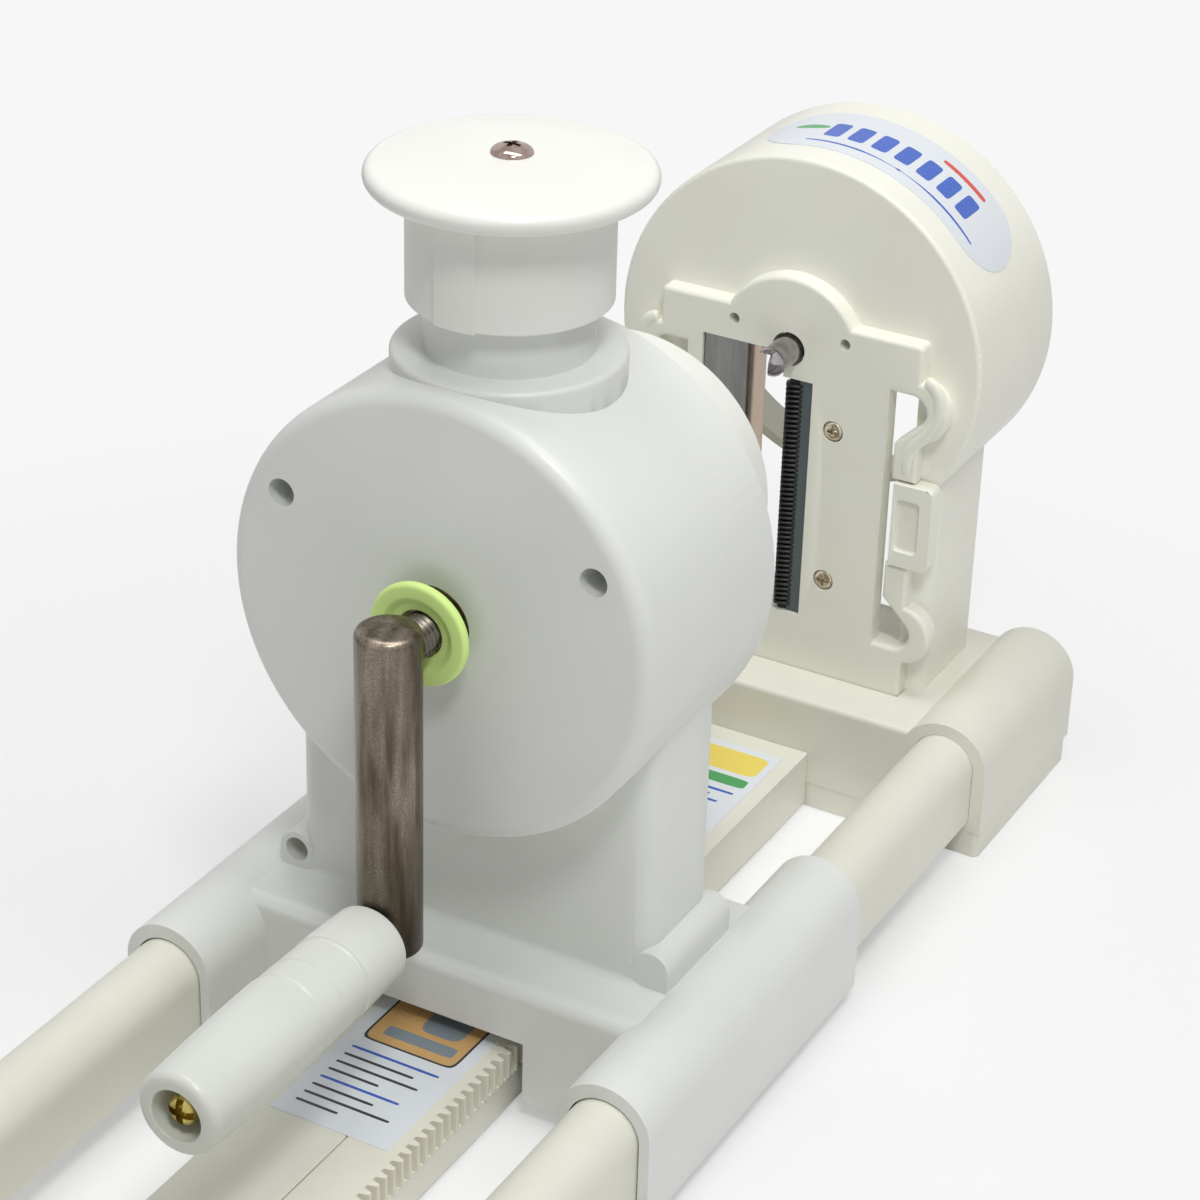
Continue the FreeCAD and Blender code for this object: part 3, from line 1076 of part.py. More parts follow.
def blade_head():
    """Column and drum in one, open at the back, with a window behind the cassette."""
    drum = round_bar_y(0, HEAD_AXIS_Z, HEAD_DRUM_R, HEAD_FRONT_Y, HEAD_REAR_Y, HEAD_RIM_R)
    column = rounded_column(
        HEAD_COLUMN_HALF_W, HEAD_FRONT_Y, HEAD_COLUMN_REAR_Y, HEAD_COLUMN_CORNER_R, BASE_TOP, HEAD_AXIS_Z,
    )
    inner_y = HEAD_FRONT_Y + WALL
    hollow = fuse([
        cyl_y(0, HEAD_AXIS_Z, HEAD_DRUM_R - WALL, inner_y, HEAD_REAR_Y + 1),
        box(
            -HEAD_COLUMN_HALF_W + WALL, HEAD_COLUMN_HALF_W - WALL, inner_y, HEAD_COLUMN_REAR_Y + 1,
            BASE_TOP + WALL, HEAD_AXIS_Z,
        ),
    ])
    window = fuse([
        box(
            -HEAD_WINDOW_HALF_W, HEAD_WINDOW_HALF_W, HEAD_FRONT_Y - 1, inner_y + 1,
            HEAD_WINDOW_Z[0], HEAD_WINDOW_Z[1],
        ),
        cyl_y(0, AXIS_Z, CORE_FLANGE_R + 3, HEAD_FRONT_Y - 1, inner_y + 1),
    ])
    screw_bores = [cyl_z(x, y, SHELL_SCREW_SHANK_R, BASE_TOP - 1, BASE_TOP + HEAD_POST_H) for x, y in HEAD_SCREW_PLACES]
    posts = [cyl_z(x, y, HEAD_POST_R, BASE_TOP, BASE_TOP + HEAD_POST_H) for x, y in HEAD_SCREW_PLACES]
    body = fuse([drum, column]).cut([hollow, window])
    return fuse([body] + posts).cut(screw_bores)


def head_screws():
    """Four screws from under the base block, up into the posts of the head."""
    screw = pan_screw(SHELL_SCREW_HEAD_R, SHELL_SCREW_HEAD_H, SHELL_SCREW_SHANK_R, SHELL_SCREW_L)
    z = HEAD_SCREW_SEAT_Z - SHELL_SCREW_HEAD_H
    return [placed(screw, x, y, z, V(1, 0, 0), 90) for x, y in HEAD_SCREW_PLACES]


def slab(x0, x1, z0, z1):
    return box(x0, x1, PLATE_FRONT_Y, HEAD_FRONT_Y, z0, z1)


def disc_y(x, z, r):
    return cyl_y(x, z, r, PLATE_FRONT_Y, HEAD_FRONT_Y)


def sprung_arms():
    """Right-hand S-shaped arms, over and under the finger pad, and the spaces that free them."""
    solids, spaces = [], []
    for s in (-1, 1):
        bulge_z = PAD_MID_Z + s * ARM_BULGE_FROM_PAD
        pad_end = PAD_MID_Z + s * (PAD_HALF_H + PAD_GAP)
        knee = PAD_MID_Z + s * (ARM_BULGE_FROM_PAD - 7.5)
        solids.append(slab(ARM_IN_X, ARM_OUT_X, min(pad_end, bulge_z), max(pad_end, bulge_z)))
        solids.append(disc_y(ARM_BULGE_X, bulge_z, ARM_BULGE_R))
        spaces.append(disc_y(ARM_EYE_X, bulge_z, ARM_EYE_R))
        wedge = [
            (PLATE_BODY_HALF_W, bulge_z + s * ARM_EYE_R), (ARM_EYE_X, bulge_z + s * ARM_EYE_R),
            (ARM_EYE_X + 2.9, bulge_z - s * 3.3), (ARM_IN_X, knee - s * 2.5), (PLATE_BODY_HALF_W, knee - s * 2.5),
        ]
        spaces.append(prism([(x, PLATE_FRONT_Y - 1, z) for x, z in wedge], V(0, PLATE_T + 2, 0)))
    reach = ARM_BULGE_FROM_PAD + ARM_EYE_R
    spaces.append(slab(PLATE_BODY_HALF_W, ARM_IN_X, PAD_MID_Z - reach, PAD_MID_Z + reach))
    pad_space = slab(
        ARM_IN_X - 1, ARM_OUT_X + 10, PAD_MID_Z - PAD_HALF_H - PAD_GAP, PAD_MID_Z + PAD_HALF_H + PAD_GAP,
    )
    return solids, spaces + [pad_space]


def blade_cassette():
    """The removable front plate: hump over two ears, body with the blade window, and sprung arms."""
    low = PAD_MID_Z - ARM_BULGE_FROM_PAD
    ears = slab(-EAR_HALF_W, EAR_HALF_W, EAR_BOTTOM_Z, EAR_TOP_Z)
    ears = ears.makeFillet(1.5, [e for e in ears.Edges if abs(e.Vertexes[0].Y - e.Vertexes[-1].Y) > 1])
    body = slab(-PLATE_BODY_HALF_W, PLATE_BODY_HALF_W, PLATE_BOTTOM_Z, EAR_BOTTOM_Z + 1)
    skirt = slab(-ARM_OUT_X, ARM_OUT_X, PLATE_BOTTOM_Z, low - ARM_EYE_R)
    solids, spaces = sprung_arms()
    left = [mirrored_x(s) for s in solids]
    plate = fuse([ears, disc_y(0, AXIS_Z, HUMP_R), body, skirt] + solids + left)
    slicer = slab(BLADE_WINDOW_LEFT_X, GAP_RIGHT_X, BLADE_WINDOW_BOTTOM_Z, BLADE_WINDOW_TOP_Z)
    comb = slab(GAP_RIGHT_X - 1, COMB_RIGHT_X, BLADE_WINDOW_BOTTOM_Z, COMB_TOP_Z)
    cuts = spaces + [mirrored_x(s) for s in spaces] + [slicer, comb, disc_y(0, AXIS_Z, CORE_HOLE_R)]
    cuts.append(cyl_y(0, AXIS_Z, CORE_FLANGE_R + 0.1, HEAD_FRONT_Y - 2, HEAD_FRONT_Y + 1))
    cuts += [disc_y(s * PLATE_HOLE_X, PLATE_HOLE_Z, PLATE_HOLE_R) for s in (-1, 1)]
    for z in CASSETTE_SCREW_Z:
        cuts.append(cyl_y(CASSETTE_SCREW_X, z, CASSETTE_SCREW_R + 0.1, PLATE_FRONT_Y - 1, PLATE_FRONT_Y + 1.6))
        cuts.append(cyl_y(CASSETTE_SCREW_X, z, 1.4, PLATE_FRONT_Y, HEAD_FRONT_Y + 1))
    plate = plate.cut(cuts)
    ledge = box(
        BLADE_WINDOW_LEFT_X, CLAMP_RIGHT_X + 3, HEAD_FRONT_Y - 1.6, HEAD_FRONT_Y,
        BLADE_WINDOW_BOTTOM_Z - 0.5, BLADE_WINDOW_TOP_Z + 0.5,
    )
    return rounded_front_edges(fuse([plate, ledge]))


def rounded_front_edges(plate):
    """Rounds the front edges of the hump, the ears and the sprung arms."""
    front = [e for e in plate.Edges if all(abs(v.Y - PLATE_FRONT_Y) < 1e-5 for v in e.Vertexes)]
    outer = [
        e for e in front
        if abs(e.CenterOfMass.x) > PLATE_BODY_HALF_W + 0.1 or e.CenterOfMass.z > EAR_TOP_Z - 0.1
    ]
    return plate.makeFillet(PLATE_EDGE_R, outer)


BLADE_T = 1.2
CLAMP_T = 1.4


def slicing_blade():
    """A flat blade on the ledge, ground to an edge that stands just proud of the plate."""
    back_y = HEAD_FRONT_Y - 1.6
    top, bottom = BLADE_WINDOW_TOP_Z - 0.3, BLADE_WINDOW_BOTTOM_Z + 0.3
    profile = [
        (BLADE_WINDOW_LEFT_X + 0.3, back_y, bottom), (BLADE_WINDOW_LEFT_X + 0.3, back_y - BLADE_T, bottom),
        (CLAMP_RIGHT_X + 0.8, back_y - BLADE_T, bottom), (BLADE_EDGE_X, PLATE_FRONT_Y - 0.6, bottom),
        (BLADE_EDGE_X + 0.1, PLATE_FRONT_Y - 0.5, bottom), (CLAMP_RIGHT_X + 1.6, back_y, bottom),
    ]
    return prism(profile, V(0, 0, top - bottom))


def blade_clamp():
    back_y = HEAD_FRONT_Y - 1.6 - BLADE_T
    return box(
        BLADE_WINDOW_LEFT_X + 0.4, CLAMP_RIGHT_X, back_y - CLAMP_T, back_y,
        BLADE_WINDOW_BOTTOM_Z + 0.4, BLADE_WINDOW_TOP_Z - 0.4,
    )


COMB_SPINE_X = (0.6, 3.4)


def comb_blade():
    """A spine with a row of small upright cutters that score the vegetable into strands."""
    x0, x1 = COMB_SPINE_X
    z0, z1 = BLADE_WINDOW_BOTTOM_Z + 0.2, COMB_TOP_Z - 0.2
    spine = box(x0, x1, PLATE_FRONT_Y + 1.2, HEAD_FRONT_Y - 0.8, z0, z1)
    teeth = []
    count = int((z1 - z0 - COMB_PITCH) / COMB_PITCH)
    start = (z0 + z1 - (count - 1) * COMB_PITCH) / 2
    for k in range(count):
        z = start + k * COMB_PITCH - COMB_TOOTH_T / 2
        outline = [
            (GAP_RIGHT_X, PLATE_FRONT_Y + 2.6, z), (x0 - 0.2, PLATE_FRONT_Y - 0.7, z),
            (x1 + 1.0, PLATE_FRONT_Y + 0.9, z), (x1 + 1.0, PLATE_FRONT_Y + 2.6, z),
        ]
        teeth.append(prism(outline, V(0, 0, COMB_TOOTH_T)))
    return fuse([spine] + teeth)


def comb_holder():
    """The grey strip that backs the comb, slotted for its cutters."""
    x0 = COMB_SPINE_X[1]
    z0, z1 = BLADE_WINDOW_BOTTOM_Z + 0.2, COMB_TOP_Z - 0.2
    strip = box(x0, COMB_RIGHT_X - 0.1, PLATE_FRONT_Y + 1.0, HEAD_FRONT_Y - 0.8, z0, z1)
    return strip.cut(comb_blade())


def coring_tube():
    """A thin tube through the plate, cut away at its tip so that it cores the vegetable."""
    tube = cyl_y(0, AXIS_Z, CORE_TUBE_R, CORE_TUBE_TIP_Y, HEAD_FRONT_Y)
    flange = cyl_y(0, AXIS_Z, CORE_FLANGE_R, HEAD_FRONT_Y - 1.8, HEAD_FRONT_Y)
    body = fuse([tube, flange]).cut(cyl_y(0, AXIS_Z, CORE_TUBE_R - CORE_TUBE_WALL, CORE_TUBE_TIP_Y - 1, HEAD_FRONT_Y + 1))
    notch = prism(
        [
            (-6, CORE_TUBE_TIP_Y - 1, AXIS_Z - 1.2), (0.8, CORE_TUBE_TIP_Y - 1, AXIS_Z + 6),
            (-6, CORE_TUBE_TIP_Y - 1, AXIS_Z + 6),
        ],
        V(0, 6.5, 0),
    )
    return body.cut(notch)


def cassette_screws():
    screw = pan_screw(CASSETTE_SCREW_R, 1.6, 1.4, PLATE_T + 1.0)
    return [placed(screw, CASSETTE_SCREW_X, PLATE_FRONT_Y, z) for z in CASSETTE_SCREW_Z]


def latch_pad():
    """Right-hand finger pad with a thumb recess, and the hook behind it that holds the cassette."""
    y0, y1 = PLATE_FRONT_Y - PAD_PROUD, HEAD_FRONT_Y - CLEAR
    z0, z1 = PAD_MID_Z - PAD_HALF_H, PAD_MID_Z + PAD_HALF_H
    pad = box(PAD_X[0], PAD_X[1], y0, y1, z0, z1)
    corners = [e for e in pad.Edges if abs(e.Vertexes[0].Y - e.Vertexes[-1].Y) > 1 and e.Vertexes[0].X > PAD_X[1] - 1]
    pad = pad.makeFillet(PAD_CORNER_R, corners)
    recess = box(
        PAD_RECESS_X[0], PAD_RECESS_X[1], y0 - 1, y0 + PAD_RECESS_DEPTH,
        PAD_MID_Z - PAD_RECESS_HALF_H, PAD_MID_Z + PAD_RECESS_HALF_H,
    )
    recess = recess.makeFillet(1.2, [e for e in recess.Edges if abs(e.Vertexes[0].Y - e.Vertexes[-1].Y) > 1])
    edge = HEAD_WINDOW_HALF_W - CLEAR
    wall_rear = HEAD_FRONT_Y + WALL + CLEAR
    stem = box(edge - HOOK_T, edge, y1 - 1, wall_rear + 2.0, PAD_MID_Z - HOOK_HALF_H, PAD_MID_Z + HOOK_HALF_H)
    barb = box(edge - 0.5, edge + HOOK_BARB, wall_rear, wall_rear + 2.0, PAD_MID_Z - HOOK_HALF_H, PAD_MID_Z + HOOK_HALF_H)
    return fuse([pad.cut(recess), stem, barb])


def head_sticker():
    """A bare label bent round the top of the blade head, with rounded ends."""
    y0, y1 = STICKER_Y
    a0, a1 = STICKER_DEG
    band = cyl_y(0, HEAD_AXIS_Z, HEAD_DRUM_R + LABEL_T, y0, y1).cut(cyl_y(0, HEAD_AXIS_Z, HEAD_DRUM_R, y0 - 1, y1 + 1))
    half = (y1 - y0) / 2
    reach = HEAD_DRUM_R * 2
    limits = []
    inset = math.degrees(half / HEAD_DRUM_R)
    for a in (a0 + inset, a1 - inset):
        t = math.radians(a)
        outward = V(math.sin(t), 0, math.cos(t))
        foot = V(0, (y0 + y1) / 2, HEAD_AXIS_Z)
        limits.append(Part.makeCylinder(half, reach, foot, outward))
    sector_points = [V(0, y0 - 1, HEAD_AXIS_Z)]
    for a in (a0 + inset, (a0 + a1) / 2, a1 - inset):
        t = math.radians(a)
        sector_points.append(V(reach * math.sin(t), y0 - 1, HEAD_AXIS_Z + reach * math.cos(t)))
    sector = Part.Face(Part.makePolygon(sector_points + [sector_points[0]])).extrude(V(0, y1 - y0 + 2, 0))
    return band.common(fuse([sector] + limits))


def parted_shells():
    """Front and rear carriage shells, on either side of the upright seam."""
    body = shell_body().cut(bracket_screw_bores())
    side, reach, high = 2 * RAIL_X, SLEEVE_LENGTH, 2 * AXIS_Z
    front = box(-side, side, SEAM_Y - reach, SEAM_Y, 0, high)
    rear = box(-side, side, SEAM_Y, SEAM_Y + reach, 0, high)
    return body.common(front), body.common(rear)


def build_nodes():
    front_shell, rear_shell = parted_shells()
    right_pad = latch_pad()
    return {
        "far_base": far_base(),
        "far_foot_plate": foot_plate(FAR_BASE_Y, FAR_Y, HEAD_SCREW_PLACES),
        "near_foot": near_foot(),
        "near_foot_plate": foot_plate(NEAR_Y, NEAR_FOOT_Y, []),
        "left_rail": rail(-RAIL_X),
        "right_rail": rail(RAIL_X),
        "centre_bar": centre_bar(),
        "feed_rack": rack(),
        "near_label": label(NEAR_LABEL_Y),
        "far_label": label(FAR_LABEL_Y),
        "blade_head": blade_head(),
        "head_screws": head_screws(),
        "head_sticker": head_sticker(),
        "blade_cassette": blade_cassette(),
        "slicing_blade": slicing_blade(),
        "blade_clamp": blade_clamp(),
        "comb_blade": comb_blade(),
        "comb_holder": comb_holder(),
        "coring_tube": coring_tube(),
        "cassette_screws": cassette_screws(),
        "right_latch_pad": right_pad,
        "left_latch_pad": mirrored_x(right_pad),
        "front_shell": front_shell,
        "rear_shell": rear_shell,
        "shell_screws": shell_screws(),
        "front_bushing": front_bushing(),
        "rear_bushing": rear_bushing(),
        "feed_bushing": feed_bushing(),
        "gear_bracket": gear_bracket(),
        "bracket_screws": bracket_screws(),
        "wheel_bushings": wheel_bushings(),
        "button_guide": button_guide(),
        "set_button": set_button(),
        "button_screw": button_screw(),
        "button_rod": button_rod(),
        "button_yoke": button_yoke(),
        "yoke_washer": yoke_washer(),
        "yoke_screw": yoke_screw(),
        "return_spring": return_spring(),
        "crank_arm": crank_arm(),
        "crank_shaft": crank_shaft(),
        "worm": worm(),
        "drive_pins": drive_pins(),
        "green_washer": green_washer(),
        "shaft_clip": shaft_clip(),
        "vegetable_holder": vegetable_holder(),
        "holder_hub": holder_hub(),
        "spike_plate": spike_plate(),
        "spike_screws": spike_screws(),
        "grip_screw": grip_screw(),
        "crank_grip": crank_grip(),
        "worm_wheel": worm_wheel(),
        "feed_shaft": feed_shaft(),
        "feed_pinion": feed_pinion(),
        "feed_clips": feed_clips(),
    }


def main():
    os.makedirs("parts", exist_ok=True)
    for name, shape in build_nodes().items():
        if isinstance(shape, list):
            shape = Part.makeCompound(shape)
        shape.exportStep(os.path.join("parts", name + ".step"))
        good = shape.isValid() and all(s.isClosed() for s in shape.Shells)
        print(f"{name}: {len(shape.Solids)} solid, {shape.Volume:.0f} mm3{'' if good else ', NOT VALID'}")


main()
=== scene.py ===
"""Looks of a hand-cranked turning slicer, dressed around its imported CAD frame.

Every sub-assembly is a class. Its fields are the sizes that only the looks need, and its methods make meshes with
numpy and give each piece its finish. Lengths are in metres unless a class says millimetres, in the frame of the CAD:
+Y toward the blades, +Z up.
"""

import json
import logging
import math
from dataclasses import dataclass
from enum import Enum
from typing import Sequence

import bpy
import bmesh
import numpy as np
from mathutils import Matrix, Vector

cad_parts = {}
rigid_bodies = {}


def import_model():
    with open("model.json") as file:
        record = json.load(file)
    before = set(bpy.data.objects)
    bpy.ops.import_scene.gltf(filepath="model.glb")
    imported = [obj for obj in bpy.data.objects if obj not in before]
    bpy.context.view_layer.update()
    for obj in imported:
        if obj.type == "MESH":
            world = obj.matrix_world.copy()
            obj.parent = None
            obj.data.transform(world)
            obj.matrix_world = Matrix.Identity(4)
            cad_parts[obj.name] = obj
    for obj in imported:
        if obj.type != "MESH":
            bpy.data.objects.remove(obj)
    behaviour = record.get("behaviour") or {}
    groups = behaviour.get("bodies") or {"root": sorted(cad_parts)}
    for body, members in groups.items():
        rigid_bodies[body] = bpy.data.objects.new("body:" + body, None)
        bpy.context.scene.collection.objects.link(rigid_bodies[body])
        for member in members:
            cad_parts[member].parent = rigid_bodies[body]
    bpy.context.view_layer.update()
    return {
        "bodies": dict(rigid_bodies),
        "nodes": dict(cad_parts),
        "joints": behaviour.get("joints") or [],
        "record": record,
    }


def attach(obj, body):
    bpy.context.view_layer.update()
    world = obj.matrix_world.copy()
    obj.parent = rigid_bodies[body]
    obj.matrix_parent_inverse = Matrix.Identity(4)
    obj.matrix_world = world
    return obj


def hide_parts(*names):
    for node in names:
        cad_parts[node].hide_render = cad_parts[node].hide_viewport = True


LOG = logging.getLogger("slicer")
MM = 0.001
TAU = 2.0 * math.pi
MERGE = 2e-6
SOFT_DEGREES = 28.0
FLAT_DEGREES = 0.5
TILE_SIDES, TILE_RINGS, TILE_SUNK = 64, 12, -0.02

Colour = tuple[int, int, int]
Pair = tuple[float, float]
Triple = tuple[float, float, float]
Node = bpy.types.Node
Socket = bpy.types.NodeSocket


class Axis(Enum):
    """The axis that a piece is turned about."""

    Y = "y"
    Z = "z"


class Plastic(Enum):
    """The moulded plastics of the machine, by the sub-assembly that they are seen on."""

    CARRIAGE = "carriage_plastic"
    BASE = "base_plastic"
    HEAD = "head_plastic"
    CASSETTE = "cassette_plastic"
    IVORY = "ivory_plastic"
    GRIP = "grip_plastic"
    RACK = "rack_plastic"


def linear(red: int, green: int, blue: int) -> tuple[float, float, float, float]:
    """The linear colour, with an alpha of 1, of a screen colour whose channels go from 0 to 255."""
    s = np.array([red, green, blue]) / 255.0
    out = np.where(s <= 0.04045, s / 12.92, ((s + 0.055) / 1.055) ** 2.4)
    return (float(out[0]), float(out[1]), float(out[2]), 1.0)


class NodeGraph:
    """The node tree of a material or a world, with short calls for the nodes that the looks share."""

    def __init__(self, owner: bpy.types.Material | bpy.types.World) -> None:
        """Takes the owner's tree, with the shader and the output that come with it."""
        owner.use_nodes = True
        self.tree = owner.node_tree
        self.surface = next(n for n in self.tree.nodes if n.type.startswith("OUTPUT")).inputs["Surface"]
        self.shader = self.surface.links[0].from_node

    def feed(self, port: Socket, item: object) -> None:
        """Links a socket to an input, or gives the input a value."""
        if isinstance(item, Socket):
            self.tree.links.new(item, port)
        else:
            port.default_value = item

    def fill(self, node: Node, **inputs: object) -> Node:
        """Feeds a node's inputs by name; an underscore in a name stands for a space."""
        for key, item in inputs.items():
            self.feed(node.inputs[key.replace("_", " ")], item)
        return node

    def add(self, kind: str, **inputs: object) -> Node:
        """Adds a node of a kind and feeds its inputs by name."""
        return self.fill(self.tree.nodes.new("ShaderNode" + kind), **inputs)

    def set(self, **inputs: object) -> None:
        """Feeds the shader's inputs by name."""
        self.fill(self.shader, **inputs)

    def coords(self) -> Socket:
        """Object coordinates."""
        return self.add("TexCoord").outputs["Object"]

    def stretched(self, scale: Triple) -> Socket:
        """Object coordinates times a scale on each axis."""
        return self.add("Mapping", Vector=self.coords(), Scale=scale).outputs["Vector"]

    def noise(self, scale: float, detail: float = 3.0, vector: Socket | None = None,
              rough: float = 0.5) -> Socket:
        """Adds grey noise: cells for each metre, octaves, coordinates (or the object's), weight of fine octaves."""
        place = vector or self.coords()
        return self.add("TexNoise", Vector=place, Scale=scale, Detail=detail, Roughness=rough).outputs["Fac"]

    def ramp(self, value: Socket, *stops: tuple[float, tuple[int, ...]]) -> Socket:
        """Colours a grey value by a ramp with two stops, each a place and a screen colour."""
        node = self.add("ValToRGB", Fac=value)
        for element, (place, colour) in zip(node.color_ramp.elements, stops):
            element.position = place
            element.color = linear(*colour)
        return node.outputs["Color"]

    def span(self, value: Socket, low: float, high: float,
             from_low: float = 0.3, from_high: float = 0.7) -> Socket:
        """Maps a grey value's middle range onto low to high."""
        ends = {"From_Min": from_low, "From_Max": from_high, "To_Min": low, "To_Max": high}
        return self.add("MapRange", Value=value, **ends).outputs["Result"]

    def toward(self, factor: Socket, colour: Socket,
               goal: tuple[int, ...]) -> Socket:
        """Moves a colour toward a screen colour by a grey factor."""
        node = self.add("Mix")
        node.data_type = "RGBA"
        for place, item in ((0, factor), (6, colour), (7, linear(*goal))):
            self.feed(node.inputs[place], item)
        return node.outputs[2]

    def maths(self, operation: str, first: Socket, second: Socket) -> Socket:
        """Works out one value from two."""
        node = self.add("Math")
        node.operation = operation
        self.feed(node.inputs[0], first)
        self.feed(node.inputs[1], second)
        return node.outputs[0]

    def bump(self, height: Socket, strength: float, distance: float) -> None:
        """Gives the shader a bump from a grey height."""
        self.set(Normal=self.add("Bump", Strength=strength, Distance=distance, Height=height).outputs["Normal"])

    def overlay(self, factor: Socket, other: Node) -> None:
        """Mixes another shader over the tree's own by a factor and puts the mix on the output."""
        mixer = self.add("MixShader")
        for port, item in zip(mixer.inputs, (factor, self.shader.outputs[0], other.outputs[0])):
            self.feed(port, item)
        self.feed(self.surface, mixer.outputs[0])


@dataclass(frozen=True)
class Finish:
    """A finish of the machine or the studio. Each kind paints the node tree of its material."""

    name: str

    def paint(self, g: NodeGraph) -> None:
        """Paints the material's tree."""
        raise NotImplementedError

    def build(self) -> bpy.types.Material:
        """Makes the material."""
        material = bpy.data.materials.new(self.name)
        self.paint(NodeGraph(material))
        return material


@dataclass(frozen=True)
class MouldedPlastic(Finish):
    """Moulded plastic: a faint clouding of the colour, a satin skin and a fine orange peel."""

    colour: Colour
    cloud: Colour
    roughness: float = 0.34
    peel: float = 0.1
    cloud_cells: float = 30.0
    gloss_cells: float = 700.0
    peel_cells: float = 900.0
    peel_depth: float = 0.00005

    def paint(self, g: NodeGraph) -> None:
        """Paints the colour, the gloss and the peel."""
        g.set(
            Base_Color=g.ramp(g.noise(self.cloud_cells), (0.36, self.cloud), (0.62, self.colour)),
            Roughness=g.span(g.noise(self.gloss_cells, 2.0), self.roughness - 0.015, self.roughness + 0.02),
            Specular_IOR_Level=0.45,
        )
        g.bump(g.noise(self.peel_cells, 2.0), self.peel, self.peel_depth)


@dataclass(frozen=True)
class DrawnSteel(Finish):
    """Bare steel: soft streaks along one axis, a fine grain, darker patches, and a painted dark reflection below a
    height.
    """

    light: Colour
    dark: Colour
    streaks: Triple = (1.0, 1.0, 0.07)
    roughness: float = 0.3
    scale: float = 420.0
    grain: float = 0.35
    painted_low_reflection: Triple = (0.0, 0.001, 0.0)
    painted_reflection_tone: float = 0.45
    grain_cells: float = 3200.0
    patch_cells: float = 60.0

    def paint(self, g: NodeGraph) -> None:
        """Paints the streaks, then the grain, the patches and the painted dark reflection low down over them."""
        lines = g.noise(self.scale, 3.0, g.stretched(self.streaks), 0.55)
        grain = g.noise(self.grain_cells, 2.0)
        patches = g.noise(self.patch_cells, 3.0, g.stretched((1.0, 1.0, 0.4)))
        # Painted reflection: below a height the colour is pulled toward a dull dark, standing in for dark surroundings
        # seen in the steel.
        low, high, most = self.painted_low_reflection
        height = g.add("SeparateXYZ", Vector=g.coords()).outputs["Z"]
        colour = g.ramp(lines, (0.32, self.dark), (0.64, self.light))
        colour = g.toward(g.span(grain, 0.0, self.grain, 0.35, 0.65), colour, self.dark)
        colour = g.toward(g.span(patches, 0.0, 0.5, 0.42, 0.7), colour, self.dark)
        dull = tuple(int(c * self.painted_reflection_tone) for c in self.dark)
        g.set(
            Base_Color=g.toward(g.span(height, most, 0.0, low, high), colour, dull),
            Roughness=g.span(lines, self.roughness - 0.05, self.roughness + 0.12),
            Metallic=1.0,
        )
        g.bump(grain, 0.1, 0.00002)


@dataclass(frozen=True)
class PlatedMetal(Finish):
    """Smooth plated or polished metal with faint handling marks."""

    colour: Colour
    dull: Colour
    roughness: float = 0.16
    mark_cells: float = 420.0
    ripple_cells: float = 1600.0

    def paint(self, g: NodeGraph) -> None:
        """Paints the marks in the colour and the gloss, and a faint ripple."""
        marks = g.noise(self.mark_cells, 4.0)
        g.set(
            Base_Color=g.ramp(marks, (0.36, self.dull), (0.62, self.colour)),
            Roughness=g.span(marks, self.roughness + 0.1, self.roughness),
            Metallic=1.0,
        )
        g.bump(g.noise(self.ripple_cells, 2.0), 0.04, 0.00002)


@dataclass(frozen=True)
class PrintedInk(Finish):
    """Ink on a label's film: an even colour with a fine screen of lighter dots and a smooth coat."""

    colour: Colour
    pale: Colour
    dot_cells: float = 2400.0

    def paint(self, g: NodeGraph) -> None:
        """Paints the dots in the colour and the gloss."""
        dots = g.noise(self.dot_cells, 1.0)
        g.set(
            Base_Color=g.ramp(dots, (0.4, self.colour), (0.75, self.pale)),
            Roughness=g.span(dots, 0.32, 0.35),
            Specular_IOR_Level=0.45,
        )


@dataclass(frozen=True)
class StudioPaper(Finish):
    """The pale sweep under the machine. The camera sees part of it as background, and all of it further away."""

    colour: Colour
    background: Colour
    fade: Pair = (0.1, 0.36)
    least: float = 0.4
    grain_cells: float = 300.0

    def paint(self, g: NodeGraph) -> None:
        """Paints the paper, and the background over it for the camera by the distance from the machine."""
        darker = tuple(c - 1 for c in self.colour)
        grain = g.ramp(g.noise(self.grain_cells, 2.0), (0.0, darker), (1.0, self.colour))
        g.set(Base_Color=grain, Roughness=0.9, Specular_IOR_Level=0.1)
        length = g.add("VectorMath", Vector=g.coords())
        length.operation = "LENGTH"
        away = g.span(length.outputs["Value"], self.least, 1.0, *self.fade)
        share = g.maths("MULTIPLY", away, g.add("LightPath").outputs["Is Camera Ray"])
        g.overlay(share, g.add("Emission", Color=linear(*self.background)))


@dataclass(frozen=True)
class Surface:
    """Points and faces of one closed or open surface."""

    points: np.ndarray
    faces: np.ndarray

    def scaled(self, factor: float) -> "Surface":
        """A copy with its points times a factor."""
        return Surface(self.points * factor, self.faces)

    def aimed(self, direction: Vector, place: np.ndarray) -> "Surface":
        """A copy whose +Z is turned to a direction and whose origin is moved to a place."""
        turn = np.array(Vector((0.0, 0.0, 1.0)).rotation_difference(direction).to_matrix())
        return Surface(self.points @ turn.T + place, self.faces)

    def flat_at(self, height: float) -> "Surface":
        """A tile laid flat at a height, in millimetres, as metres."""
        return Surface((self.points + (0.0, 0.0, height)) * MM, self.faces)

    def wrapped(self, radius: float, axis_z: float) -> "Surface":
        """A tile bent round an axis along Y: (p, q, h) goes to ((r+h) sin p/r, q, axis + (r+h) cos p/r), as metres."""
        p, q, h = self.points.T
        bent = np.stack([(radius + h) * np.sin(p / radius), q, axis_z + (radius + h) * np.cos(p / radius)], -1)
        return Surface(bent * MM, self.faces)


def even_angles(count: int) -> np.ndarray:
    """That many even angles round a full turn."""
    return np.linspace(0.0, TAU, count, endpoint=False)


